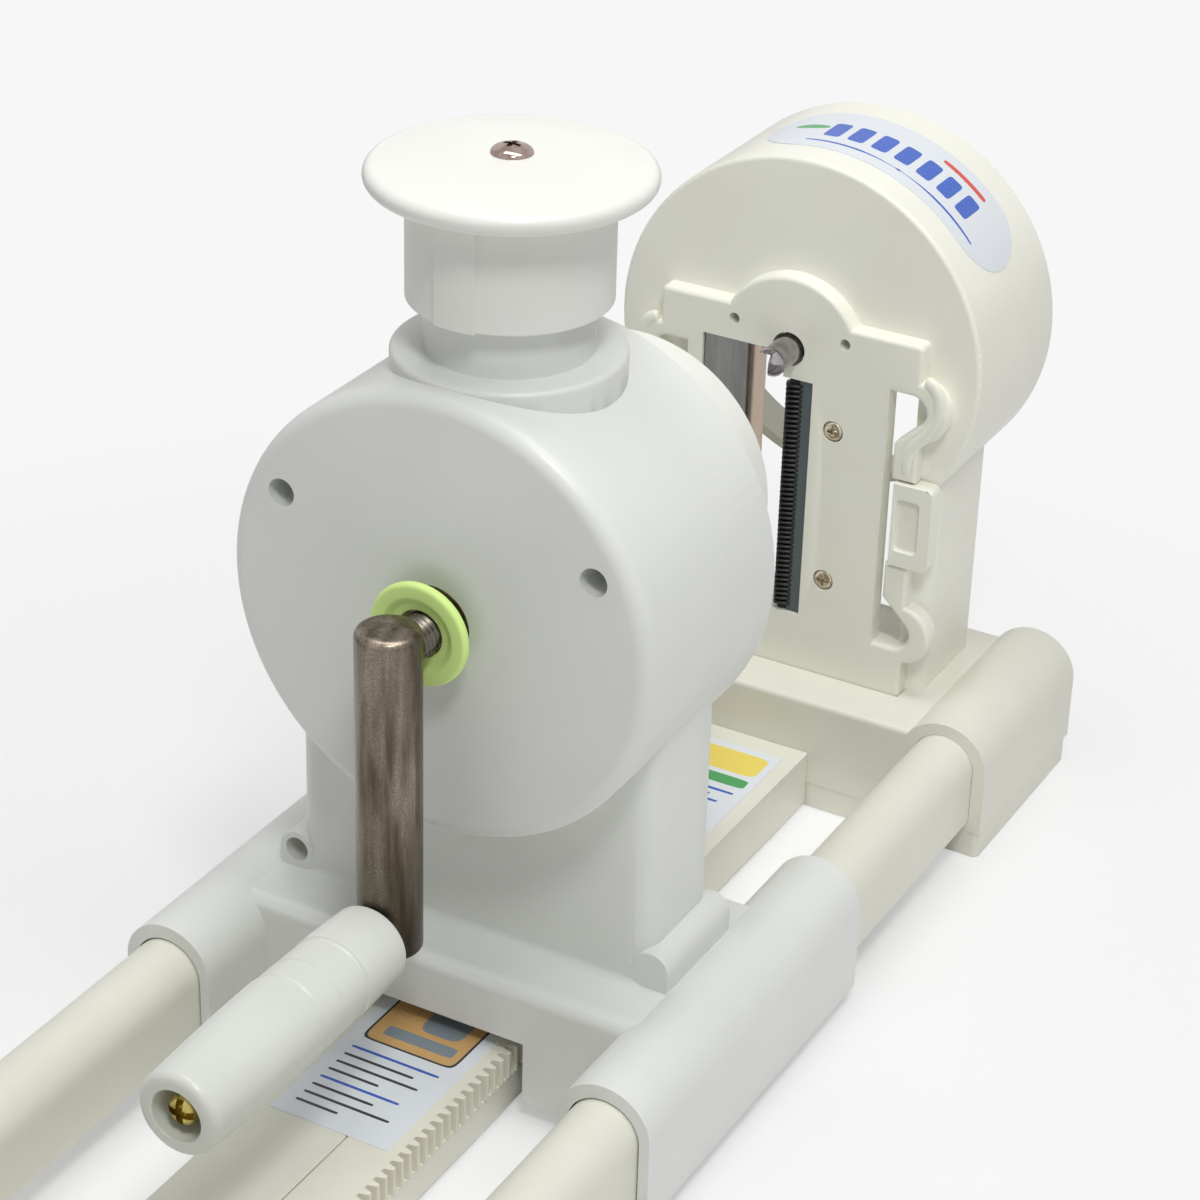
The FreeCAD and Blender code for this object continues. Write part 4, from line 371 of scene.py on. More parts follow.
def grid_faces(rows: int, columns: int, wrap_rows: bool = False) -> np.ndarray:
    """Quads of a grid of points, each row of which closes on itself.

    Args:
        rows: Points along the first parameter.
        columns: Points along the second parameter.
        wrap_rows: Whether the last row joins the first.

    Returns:
        One row of four point numbers for each quad.
    """
    i = np.arange(rows if wrap_rows else rows - 1)[:, None]
    j = np.arange(columns)[None, :]
    i1, j1 = (i + 1) % rows, (j + 1) % columns
    quads = np.stack(np.broadcast_arrays(i * columns + j, i * columns + j1, i1 * columns + j1, i1 * columns + j), -1)
    return quads.reshape(-1, 4)


def rounded(corners: Sequence[Triple], steps: int = 6) -> np.ndarray:
    """A polyline with its corners rounded.

    Each corner is (a, b, radius). A corner with a radius becomes the quadratic curve from one tangent point to the
    other with the corner as its control point, which lies close to the arc.

    Args:
        corners: Places along and across the profile, each with its radius.
        steps: Points on each rounded corner.

    Returns:
        An array of (a, b) points.
    """
    table = np.asarray(corners, float)
    out = [table[:1, :2]]
    t = np.linspace(0.0, 1.0, steps)[:, None]
    for before, at, after in zip(table[:-2], table[1:-1], table[2:]):
        if at[2] <= 0.0:
            out.append(at[None, :2])
            continue
        to_before, to_after = before[:2] - at[:2], after[:2] - at[:2]
        to_before /= np.linalg.norm(to_before)
        to_after /= np.linalg.norm(to_after)
        half = math.acos(float(np.clip(to_before @ to_after, -1.0, 1.0))) / 2.0
        reach = at[2] / math.tan(half)
        start, end = at[:2] + to_before * reach, at[:2] + to_after * reach
        out.append((1 - t) ** 2 * start + 2 * t * (1 - t) * at[:2] + t**2 * end)
    out.append(table[-1:, :2])
    return np.vstack(out)


def around(along: np.ndarray, radius: np.ndarray, angle: np.ndarray, axis: Axis, centre: Sequence[float],
           ring: bool = False) -> Surface:
    """Rows of points round an axis.

    The point in row s at angle t is along(s, t) on the axis plus radius(s, t) times (cos t, sin t) across it. An
    end row with radius 0 closes to a pole, whose doubles are merged later.

    Args:
        along: Place on the axis, one row for each step of the profile.
        radius: Distance from the axis, the same.
        angle: Angle of each column.
        axis: The axis.
        centre: A point on the axis, from which "along" is counted.
        ring: Whether the last row joins the first.

    Returns:
        The surface.
    """
    along, radius, angle = np.broadcast_arrays(along, radius, angle[None, :])
    across, up = radius * np.cos(angle), radius * np.sin(angle)
    parts = (across, along, -up) if axis is Axis.Y else (across, up, along)
    points = np.stack(parts, -1).reshape(-1, 3) + np.asarray(centre, float)
    return Surface(points, grid_faces(*along.shape, wrap_rows=ring))


def turned(profile: np.ndarray, axis: Axis, centre: Sequence[float], segments: int = 96, ring: bool = False) -> Surface:
    """A profile of (along, radius) turned about an axis, in millimetres, with the centre in millimetres too."""
    angle = even_angles(segments)
    rows = np.asarray(profile, float)
    return around(rows[:, :1], rows[:, 1:2], angle, axis, centre, ring).scaled(MM)


def patch(half_w: float, half_l: float, centre: Pair, power: float = 8.0,
          proud: float = 0.03) -> Surface:
    """A thin flat tile with an outline between an ellipse and a rectangle.

    The outline at angle t is (half_w |cos t|^(2/power), half_l |sin t|^(2/power)) with the signs of cos t and sin t:
    power 2 is an ellipse, and a large power is a rectangle with small corners. Rings shrink it to its middle.

    Args:
        half_w: Half its width.
        half_l: Half its length.
        centre: Its middle.
        power: Squareness.
        proud: Its height over the film.

    Returns:
        The tile in (across, along, height), in millimetres.
    """
    t = even_angles(TILE_SIDES)[None, :]
    steps = np.concatenate([np.linspace(0.0, 1.0, TILE_RINGS), [1.0, 0.0]])[:, None]
    height = np.concatenate([np.full(TILE_RINGS, proud), [TILE_SUNK] * 2])[:, None]
    c, d = np.cos(t), np.sin(t)
    p = centre[0] + steps * half_w * np.sign(c) * np.abs(c) ** (2.0 / power)
    q = centre[1] + steps * half_l * np.sign(d) * np.abs(d) ** (2.0 / power)
    points = np.stack(np.broadcast_arrays(p, q, height), -1).reshape(-1, 3)
    return Surface(points, grid_faces(len(steps), t.shape[1]))


def all_joined(surfaces: Sequence[Surface]) -> Surface:
    """Several surfaces as one, with their faces renumbered."""
    starts = np.cumsum([0] + [len(s.points) for s in surfaces[:-1]])
    faces = [s.faces + start for s, start in zip(surfaces, starts)]
    return Surface(np.vstack([s.points for s in surfaces]), np.vstack(faces))


def placed(name: str, data: bpy.types.ID) -> bpy.types.Object:
    """Puts an object with this data in the scene."""
    obj = bpy.data.objects.new(name, data)
    bpy.context.scene.collection.objects.link(obj)
    return obj


@dataclass
class Workshop:
    """Holds the frame and the finishes, and dresses CAD nodes."""

    frame: dict
    finishes: dict

    def home(self, node: str) -> tuple[str, str]:
        """The body and the material slot of a CAD node, by the record."""
        record = self.frame["record"]
        body = next(b for b, nodes in record["behaviour"]["bodies"].items() if node in nodes)
        return body, next(s["material_slot"] for s in record["subparts"] if s["node"] == node)

    def dress(self, finish: str, *nodes: str) -> None:
        """Gives CAD nodes a finish as they are."""
        for node in nodes:
            slots = self.frame["nodes"][node].data.materials
            slots.clear()
            slots.append(self.finishes[finish])

    def complete(self, name: str, mesh: bpy.types.Mesh, finish: str, node: str, stands_for: Sequence[str],
                 sharp_degrees: float) -> bpy.types.Object:
        """Merges doubles, turns faces outwards, sets shading and ties the piece to a CAD node's body.

        Args:
            name: The piece.
            mesh: Its mesh.
            finish: Its finish.
            node: The CAD node whose body it takes.
            stands_for: CAD nodes that it replaces.
            sharp_degrees: Edges that turn more stay sharp.

        Returns:
            The piece.
        """
        body, slot = self.home(node)
        b = bmesh.new()
        b.from_mesh(mesh)
        bmesh.ops.remove_doubles(b, verts=b.verts, dist=MERGE)
        bmesh.ops.dissolve_degenerate(b, edges=b.edges, dist=MERGE / 2.0)
        bmesh.ops.recalc_face_normals(b, faces=b.faces)
        b.to_mesh(mesh)
        b.free()
        mesh.materials.clear()
        mesh.materials.append(self.finishes[finish])
        mesh.shade_smooth()
        mesh.set_sharp_from_angle(angle=math.radians(sharp_degrees))
        obj = placed(name, mesh)
        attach(obj, body)
        if stands_for:
            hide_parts(*stands_for)
        LOG.info("%s: %d faces on %s", name, len(mesh.polygons), body)
        return obj

    def soften(self, finish: str, *nodes: str, edge: float = 0.4 * MM) -> None:
        """Stands merged copies of CAD nodes in their places, with their edges rounded.

        Args:
            finish: Name of the finish.
            nodes: The CAD nodes.
            edge: Width of the rounding.
        """
        for node in nodes:
            mesh = self.frame["nodes"][node].data.copy()
            b = bmesh.new()
            b.from_mesh(mesh)
            bmesh.ops.remove_doubles(b, verts=b.verts, dist=2.0 * MERGE)
            bmesh.ops.dissolve_limit(b, angle_limit=math.radians(FLAT_DEGREES), verts=b.verts, edges=b.edges)
            b.to_mesh(mesh)
            b.free()
            obj = self.complete(node + "_soft", mesh, finish, node, [node], SOFT_DEGREES)
            bevel = obj.modifiers.new("round edges", "BEVEL")
            bevel.width, bevel.segments, bevel.limit_method = edge, 2, "ANGLE"
            bevel.angle_limit = math.radians(SOFT_DEGREES)
            bevel.harden_normals = bevel.use_clamp_overlap = True

    def make(self, name: str, surface: Surface, finish: str, node: str, stands_for: Sequence[str] = (),
             sharp_degrees: float = 32.0) -> None:
        """Makes a piece from a surface in metres; its other arguments are those of complete."""
        mesh = bpy.data.meshes.new(name)
        mesh.from_pydata(surface.points.tolist(), [], surface.faces.tolist())
        self.complete(name, mesh, finish, node, stands_for, sharp_degrees)

    def screws(self, finish: str, kind: "PhillipsScrew", *nodes: str) -> None:
        """Puts screws with a cross recess in the place of each plain screw of CAD nodes."""
        for node in nodes:
            parts = [kind.like(points) for points in loose_parts(self.frame["nodes"][node].data)]
            self.make(node + "_cross", all_joined(parts), finish, node, [node], 35.0)


@dataclass(frozen=True)
class PhotoCamera:
    """The viewpoint of the photograph, as a pinhole fitted to it."""

    place: Triple = (0.32314, -0.5465, 0.46264)
    azimuth: float = 28.63
    elevation: float = 28.52
    roll: float = 1.69
    focal_pixels: float = 3190.83
    frame_pixels: float = 1200.0
    sensor_mm: float = 36.0

    def build(self) -> None:
        """Makes the camera: right and up are turned from level by the roll, and back points away from the object."""
        a, e, r = (math.radians(v) for v in (self.azimuth, self.elevation, self.roll))
        back = Vector((math.sin(a) * math.cos(e), -math.cos(a) * math.cos(e), math.sin(e)))
        level = Vector((math.cos(a), math.sin(a), 0.0))
        upright = Vector((-math.sin(a) * math.sin(e), math.cos(a) * math.sin(e), math.cos(e)))
        right = level * math.cos(r) + upright * math.sin(r)
        up = upright * math.cos(r) - level * math.sin(r)
        data = bpy.data.cameras.new("photo_camera")
        data.sensor_width = self.sensor_mm
        data.lens = self.sensor_mm * self.focal_pixels / self.frame_pixels
        data.clip_start, data.clip_end = 0.01, 20.0
        camera = placed("photo_camera", data)
        camera.matrix_world = Matrix.Translation(self.place) @ Matrix((right, up, back)).transposed().to_4x4()
        bpy.context.scene.camera = camera


@dataclass(frozen=True)
class Lamp:
    """A rectangular area lamp that faces a target; lengths in metres."""

    name: str
    place: Triple
    target: Triple
    size: Pair
    watts: float

    def build(self) -> None:
        """Hangs the lamp."""
        data = bpy.data.lights.new(self.name, "AREA")
        data.shape = "RECTANGLE"
        data.energy = self.watts
        data.size, data.size_y = self.size
        lamp = placed(self.name, data)
        lamp.location = self.place
        lamp.rotation_euler = (Vector(self.target) - Vector(self.place)).to_track_quat("-Z", "Y").to_euler()


@dataclass(frozen=True)
class Studio:
    """Pale floor, even world light, a long narrow lamp overhead and a small one in front, to the right."""

    world_strength: float = 0.27
    background: Colour = (247, 247, 247)
    paper: Colour = (250, 250, 250)
    floor_half: float = 6.0
    floor_z: float = -0.0002
    lamps: tuple[Lamp, ...] = (
        Lamp("overhead", (0.12, 0.04, 1.1), (0.12, 0.041, 0.0), (1.0, 0.3), 5.6),
        Lamp("front", (0.4, -0.46, 1.05), (0.0, 0.0, 0.15), (0.22, 0.22), 4.2),
    )

    def floor(self) -> None:
        """Lays the floor."""
        h = self.floor_half
        mesh = bpy.data.meshes.new("floor")
        mesh.from_pydata([(-h, -h, 0), (h, -h, 0), (h, h, 0), (-h, h, 0)], [], [(0, 1, 2, 3)])
        mesh.materials.append(StudioPaper("studio_paper", self.paper, self.background).build())
        floor = placed("floor", mesh)
        floor.location.z = self.floor_z

    def world(self) -> None:
        """Makes the world: an even light, and the pale background for what the camera, gloss and glass see."""
        world = bpy.data.worlds.new("studio")
        bpy.context.scene.world = world
        g = NodeGraph(world)
        g.set(Color=(1.0, 1.0, 1.0, 1.0), Strength=self.world_strength)
        rays = g.add("LightPath").outputs
        seen = g.maths("MAXIMUM", rays["Is Camera Ray"], rays["Is Glossy Ray"])
        seen = g.maths("MAXIMUM", seen, rays["Is Transmission Ray"])
        g.overlay(seen, g.add("Background", Color=linear(*self.background)))

    def build(self) -> None:
        """Makes the floor, the world and the lamps."""
        self.floor()
        self.world()
        for lamp in self.lamps:
            lamp.build()


@dataclass(frozen=True)
class PhillipsScrew:
    """A screw with a domed head, a cross recess and a plain shank.

    Its sizes are shares of its head, except raised, which is how many metres its head stands over the CAD's.
    """

    arm_length: float = 0.56
    arm_width: float = 0.15
    depth: float = 0.75
    roundness: float = 5.0
    raised: float = 0.0

    def recess_edge(self, angle: np.ndarray) -> np.ndarray:
        """Distance from the middle to the edge of the cross, for a head of radius 1.

        Each bar of the cross reaches min(length/|cos t|, width/|sin t|) at angle t, and the cross is the larger of
        the two bars.
        """
        c, s = np.abs(np.cos(angle)) + 1e-9, np.abs(np.sin(angle)) + 1e-9
        bar = np.minimum(self.arm_length / c, self.arm_width / s)
        return np.maximum(bar, np.minimum(self.arm_length / s, self.arm_width / c))

    def surface(self, head_r: float, head_h: float, shank_r: float, shank_l: float, skirt: float = 0.0) -> Surface:
        """One grid from the recess's floor over the dome, down the head's side and the shank.

        The dome's height at distance r is head_h * sqrt(1 - (r/head_r)^roundness).

        Args:
            head_r: Radius of the head.
            head_h: Height of the dome.
            shank_r: Radius of the shank.
            shank_l: Length of the shank.
            skirt: Height of the head's straight side, below the origin.

        Returns:
            The screw, with its head toward +Z.
        """
        corner = math.atan(self.arm_width / self.arm_length)
        quarters = np.arange(4)[:, None] * TAU / 4.0
        corners = (quarters + np.array([-corner, corner, TAU / 8.0])[None, :]).ravel() % TAU
        angle = np.unique(np.round(np.concatenate([even_angles(56), corners]), 9))
        edge = self.recess_edge(angle)[None, :] * head_r
        out = np.array([0.25, 0.6, 1.0])[:, None]
        rim = np.array([0.8, 0.88, 0.94, 0.98, 1.0])[:, None] * head_r
        ring = np.ones_like(edge)
        radius = np.vstack([
            edge * 0.0, edge * 0.4, edge * 0.88, edge, edge + np.maximum(0.7 * head_r - edge, 0.0) * out,
            np.maximum(rim * ring, edge), ring * head_r, ring * shank_r, ring * shank_r, edge * 0.0,
        ])
        dome = head_h * np.sqrt(np.clip(1.0 - (radius / head_r) ** self.roundness, 0.0, 1.0))
        floor = head_h * (1.0 - self.depth)
        dome[0], dome[1], dome[2] = floor - 0.12 * head_h, floor, floor + 0.1 * head_h
        dome[-4:-2], dome[-2:] = -skirt, -skirt - shank_l
        return around(dome, radius, angle, Axis.Z, (0.0, 0.0, 0.0))

    def like(self, points: np.ndarray) -> Surface:
        """A screw in the place of a plain CAD screw, worked out from its points.

        The axis is the longest side of its box, and the head is at the wider end. A raised head keeps its seat.
        """
        low, high = points.min(0), points.max(0)
        axis = int(np.argmax(high - low))
        others = [k for k in range(3) if k != axis]
        middle = (low + high) / 2.0
        reach = np.linalg.norm(points[:, others] - middle[others], axis=1)
        along = points[:, axis]
        near = 0.03 * (high - low)[axis]
        ends = reach[along < low[axis] + near].max(), reach[along > high[axis] - near].max()
        sign = 1.0 if ends[1] > ends[0] else -1.0
        tip = high[axis] if sign > 0 else low[axis]
        head_r, shank_r = reach.max(), min(ends)
        head_h = np.abs(along[reach > (head_r + shank_r) / 2.0] - tip).max()
        direction = Vector([sign if k == axis else 0.0 for k in range(3)])
        place = middle.copy()
        place[axis] = tip - sign * (head_h - self.raised)
        shank = (high - low)[axis] - head_h
        return self.surface(head_r, head_h, shank_r, shank, self.raised).aimed(direction, place)


def loose_parts(mesh: bpy.types.Mesh) -> list[np.ndarray]:
    """The points of each loose part of a mesh, by spreading the lowest point number along its edges."""
    coords = np.empty(len(mesh.vertices) * 3)
    mesh.vertices.foreach_get("co", coords)
    coords = coords.reshape(-1, 3)
    ends = np.empty(len(mesh.edges) * 2, int)
    mesh.edges.foreach_get("vertices", ends)
    keys, same = np.unique(np.round(coords / MERGE).astype(int), axis=0, return_inverse=True)
    a, b = same.ravel()[ends.reshape(-1, 2)].T
    label = np.arange(len(keys))
    while True:
        low = np.minimum(label[a], label[b])
        new = label.copy()
        np.minimum.at(new, a, low)
        np.minimum.at(new, b, low)
        new = new[new]
        if (new == label).all():
            break
        label = new
    owner = label[same.ravel()]
    return [coords[owner == k] for k in np.unique(owner)]


@dataclass
class BaseFrame:
    """Foot blocks, rails, middle bar, rack and the bar's labels; sizes in millimetres."""

    shop: "Workshop"
    film_top: float = 17.0
    near_label: Pair = (-74.2, -8.0)
    far_label: Pair = (72.0, 121.6)
    near_rules: tuple[float, ...] = (11.8, 9.4, 11.0, 6.8, 10.6, 8.2, 11.4, 5.6)
    far_rules: tuple[float, ...] = (13.0, 10.2, 12.0, 7.4)

    def near_print(self) -> dict[str, list[Surface]]:
        """A framed panel with a rounded block, a bar and a round mark, over ruled lines, in four inks."""
        top = self.near_label[1]
        first = sum(self.near_label) / 2.0 - 4.6
        rules = [patch(h, 0.42, (h - 12.2, first - 3.3 * k)) for k, h in enumerate(self.near_rules)]
        return {
            "ink_black": [
                patch(12.6, 15.2, (0.0, top - 18.5), 14.0, 0.02), patch(2.2, 2.2, (-6.8, top - 12.0), 2.0, 0.06),
                *rules[1:4], *rules[5:],
            ],
            "ink_slate": [
                patch(5.6, 7.6, (3.0, top - 17.0), 5.0, 0.06), patch(9.4, 1.9, (0.6, top - 28.4), 10.0, 0.06),
            ],
            "ink_tan": [patch(12.0, 14.6, (0.0, top - 18.5), 14.0, 0.04)],
            "ink_blue": rules[::4],
        }

    def far_print(self) -> dict[str, list[Surface]]:
        """Plain bands and rounds in yellow and green, over ruled lines in blue."""
        y0, y1 = self.far_label
        return {
            "ink_yellow": [patch(13.6, 5.2, (0.0, y1 - 8.0)), patch(4.2, 4.2, (8.4, y0 + 9.0), 2.0)],
            "ink_green": [patch(13.6, 2.2, (0.0, y1 - 17.4)), patch(3.4, 3.4, (-9.0, y0 + 9.0), 2.0)],
            "ink_blue": [patch(h, 0.5, (h - 13.4, y1 - 23.0 - 2.7 * k)) for k, h in enumerate(self.far_rules)],
        }

    def build(self) -> None:
        """Dresses the moulded parts and prints the labels."""
        self.shop.soften(
            Plastic.BASE.value, "far_base", "far_foot_plate", "near_foot", "near_foot_plate", "left_rail",
            "right_rail", "centre_bar",
        )
        self.shop.soften(Plastic.RACK.value, "feed_rack", edge=0.15 * MM)
        self.shop.dress("label_film", "near_label", "far_label")
        for place, inks in (("near", self.near_print()), ("far", self.far_print())):
            for ink, tiles in inks.items():
                surface = all_joined([tile.flat_at(self.film_top) for tile in tiles])
                self.shop.make(f"{place}_label_{ink}", surface, ink, "near_label")


@dataclass
class BladeHead:
    """The drum on the far block, its cassette with blades, comb and coring tube; sizes in millimetres."""

    shop: "Workshop"
    axis_z: float = 125.2
    drum_axis_z: float = 123.8
    film_r: float = 52.2
    tube_r: float = 3.9
    tube_wall: float = 0.45
    tube_tip_y: float = 133.5
    tube_segments: int = 240
    tube_lip: Pair = (0.1, 0.25)
    flange_r: float = 7.0
    flange_y: Pair = (146.7, 148.5)
    notch_depth: float = 7.0
    notch_half: float = 0.95
    notch_turn: float = 2.75
    comb_pitch: float = 1.43
    comb_teeth: int = 46
    comb_first_z: float = 50.675
    comb_fill: float = 0.94
    comb_ends: Pair = (48.7, 117.0)
    rope_line: tuple = ((37.6, 125.4), (39.8, 125.2), (42.2, 123.4), (43.4, 119.6), (43.0, 115.2), (40.4, 110.4),
                        (36.9, 107.2), (35.5, 103.6), (35.4, 96.6))
    rope_half_w: float = 1.85
    rope_y: float = 144.4
    rope_h: float = 1.35
    rope_smooth: float = 1.6
    rope_grid: tuple[int, int] = (90, 28)

    def tube(self) -> Surface:
        """The coring tube: a wall turned round the axis, whose tip steps back by a V-shaped notch.

        The tip at angle t is at tip_y + depth * max(0, 1 - |t - turn| / half).
        """
        angle = even_angles(self.tube_segments)
        away = np.abs((angle - self.notch_turn + math.pi) % TAU - math.pi)
        notch = self.notch_depth * np.clip(1.0 - away / self.notch_half, 0.0, None)
        inner = self.tube_r - self.tube_wall
        tip, mid = self.tube_tip_y + notch, self.tube_tip_y + self.notch_depth + 0.5
        y0, y1 = self.flange_y
        back, down = self.tube_lip
        rows = ((tip + back, inner), (tip, self.tube_r - down), (tip + back, self.tube_r), (mid, self.tube_r),
                (y0, self.tube_r), (y0, self.flange_r), (y1, self.flange_r), (y1, inner), (mid, inner))
        along = np.stack([np.broadcast_to(y, angle.shape) for y, _ in rows])
        radius = np.array([r for _, r in rows])[:, None]
        return around(along, radius, angle, Axis.Y, (0.0, 0.0, self.axis_z), ring=True).scaled(MM)

    def comb(self) -> Surface:
        """The comb: an outline across it that swells from spine to tooth and back once for each tooth.

        At height z the outline is spine + (tooth - spine) * w, where w is sqrt(1 - (2d / (fill * pitch))^2) at a
        distance d from the nearest tooth's middle, and 0 between teeth.
        """
        tooth = np.array([(-1.0, 146.1), (-0.7, 145.0), (-0.2, 143.8), (0.4, 142.85), (1.6, 143.0), (3.0, 143.5),
                          (4.5, 144.3), (4.5, 146.1), (3.4, 147.7), (0.6, 147.7)])
        spine = np.array([(0.5, 146.1), (0.5, 145.7), (0.5, 145.3), (0.5, 145.0), (1.3, 144.8), (2.3, 144.8),
                          (3.4, 144.9), (3.4, 146.1), (3.4, 147.7), (0.6, 147.7)])
        step = np.array([-0.5, -0.46, -0.4, -0.28, -0.12, 0.0, 0.12, 0.28, 0.4, 0.46]) * self.comb_pitch
        z = (self.comb_first_z + np.arange(self.comb_teeth)[:, None] * self.comb_pitch + step[None, :]).ravel()
        share = np.tile(step, self.comb_teeth) * 2.0 / (self.comb_fill * self.comb_pitch)
        weight = np.sqrt(np.clip(1.0 - share**2, 0.0, 1.0))[:, None, None]
        outline = spine + (tooth - spine) * weight
        z = np.concatenate([[self.comb_ends[0]] * 2, z, [self.comb_ends[1]] * 2])
        end = np.broadcast_to(spine.mean(0), spine.shape)
        outline = np.concatenate([[end, spine], outline, [spine, end]])
        height = np.broadcast_to(z[:, None, None], outline.shape[:2] + (1,))
        points = np.concatenate([outline, height], -1).reshape(-1, 3)
        return Surface(points * MM, grid_faces(len(z), outline.shape[1]))

    def rope(self, side: float) -> Surface:
        """The half-round bead on a sprung arm: a smooth line through the bend, swept with a half ellipse.

        At share u of the line the bead's half width and height are w and h times sqrt(1 - (2u - 1)^16), so that
        both ends close.
        """
        knots = np.asarray(self.rope_line)
        at = np.concatenate([[0.0], np.cumsum(np.linalg.norm(np.diff(knots, axis=0), axis=1))])
        rows, columns = self.rope_grid
        u = np.linspace(0.0, 1.0, rows)
        line = np.stack([np.interp(u * at[-1], at, knots[:, k]) for k in (0, 1)], -1)
        weight = np.exp(-0.5 * ((at[-1] * (u[:, None] - u[None, :])) / self.rope_smooth) ** 2)
        line = (weight / weight.sum(1, keepdims=True)) @ line
        ahead = np.gradient(line, axis=0)
        ahead /= np.linalg.norm(ahead, axis=1, keepdims=True)
        size = np.sqrt(np.clip(1.0 - (2.0 * u - 1.0) ** 16, 0.0, 1.0))[:, None]
        t = even_angles(columns)[None, :]
        across = self.rope_half_w * size * np.cos(t)
        x = side * (line[:, :1] + ahead[:, 1:] * across)
        z = line[:, 1:] - ahead[:, :1] * across
        y = self.rope_y - self.rope_h * size * np.sin(t)
        return Surface(np.stack([x, y, z], -1).reshape(-1, 3) * MM, grid_faces(rows, columns))

    def print_band(self) -> dict[str, list[Surface]]:
        """Plain marks round the head's label: a long blue band, short bars, and a green and a red mark."""
        mid, turn = 172.0, math.radians(19.0) * self.film_r
        bars = [patch(2.3, 5.0, (turn + p, mid), 7.0) for p in (-20.0, -13.2, -6.4, 0.4, 7.2, 14.0, 20.8)]
        return {
            "ink_blue": bars + [patch(27.0, 0.45, (turn + 2.0, mid - 9.2), 6.0)],
            "ink_red": [patch(7.5, 0.9, (turn + 15.0, mid + 8.8), 6.0)],
            "ink_green": [patch(5.0, 1.5, (turn - 28.0, mid + 1.5), 2.0)],
        }

    def build(self) -> None:
        """Dresses the head, the cassette and what they carry."""
        shop = self.shop
        shop.soften(Plastic.HEAD.value, "blade_head")
        shop.soften(Plastic.CASSETTE.value, "blade_cassette", "left_latch_pad", "right_latch_pad", edge=0.3 * MM)
        for side, name in ((-1.0, "left"), (1.0, "right")):
            shop.make(f"{name}_arm_rope", self.rope(side), Plastic.CASSETTE.value, "blade_cassette")
        shop.soften("comb_slate", "comb_holder", edge=0.1 * MM)
        shop.soften("bevel_steel", "slicing_blade", edge=0.06 * MM)
        shop.soften("clamp_steel", "blade_clamp", edge=0.15 * MM)
        shop.make("coring_tube_bright", self.tube(), "chrome", "coring_tube", ["coring_tube"])
        shop.make("comb_teeth", self.comb(), "comb_black", "comb_blade", ["comb_blade"], 50.0)
        shop.screws("nickel", PhillipsScrew(roundness=6.0), "cassette_screws", "head_screws")
        shop.dress("label_film", "head_sticker")
        for ink, tiles in self.print_band().items():
            surface = all_joined([tile.wrapped(self.film_r, self.drum_axis_z) for tile in tiles])
            shop.make(f"head_label_{ink}", surface, ink, "head_sticker")


@dataclass
class Carriage:
    """The drum, column and sleeves that slide on the rails, with the metal that they hold."""

    shop: "Workshop"

    def build(self) -> None:
        """Dresses the shells and their screws, bushings and bracket."""
        shop = self.shop
        shop.soften(Plastic.CARRIAGE.value, "front_shell", "rear_shell", "button_guide")
        shop.soften("old_brass", "front_bushing", edge=0.12 * MM)
        shop.dress("old_brass", "rear_bushing", "feed_bushing", "wheel_bushings")
        shop.soften("sheet_steel", "gear_bracket", edge=0.3 * MM)
        shop.dress("spring_steel", "return_spring")
        shop.screws("nickel", PhillipsScrew(), "shell_screws", "bracket_screws")


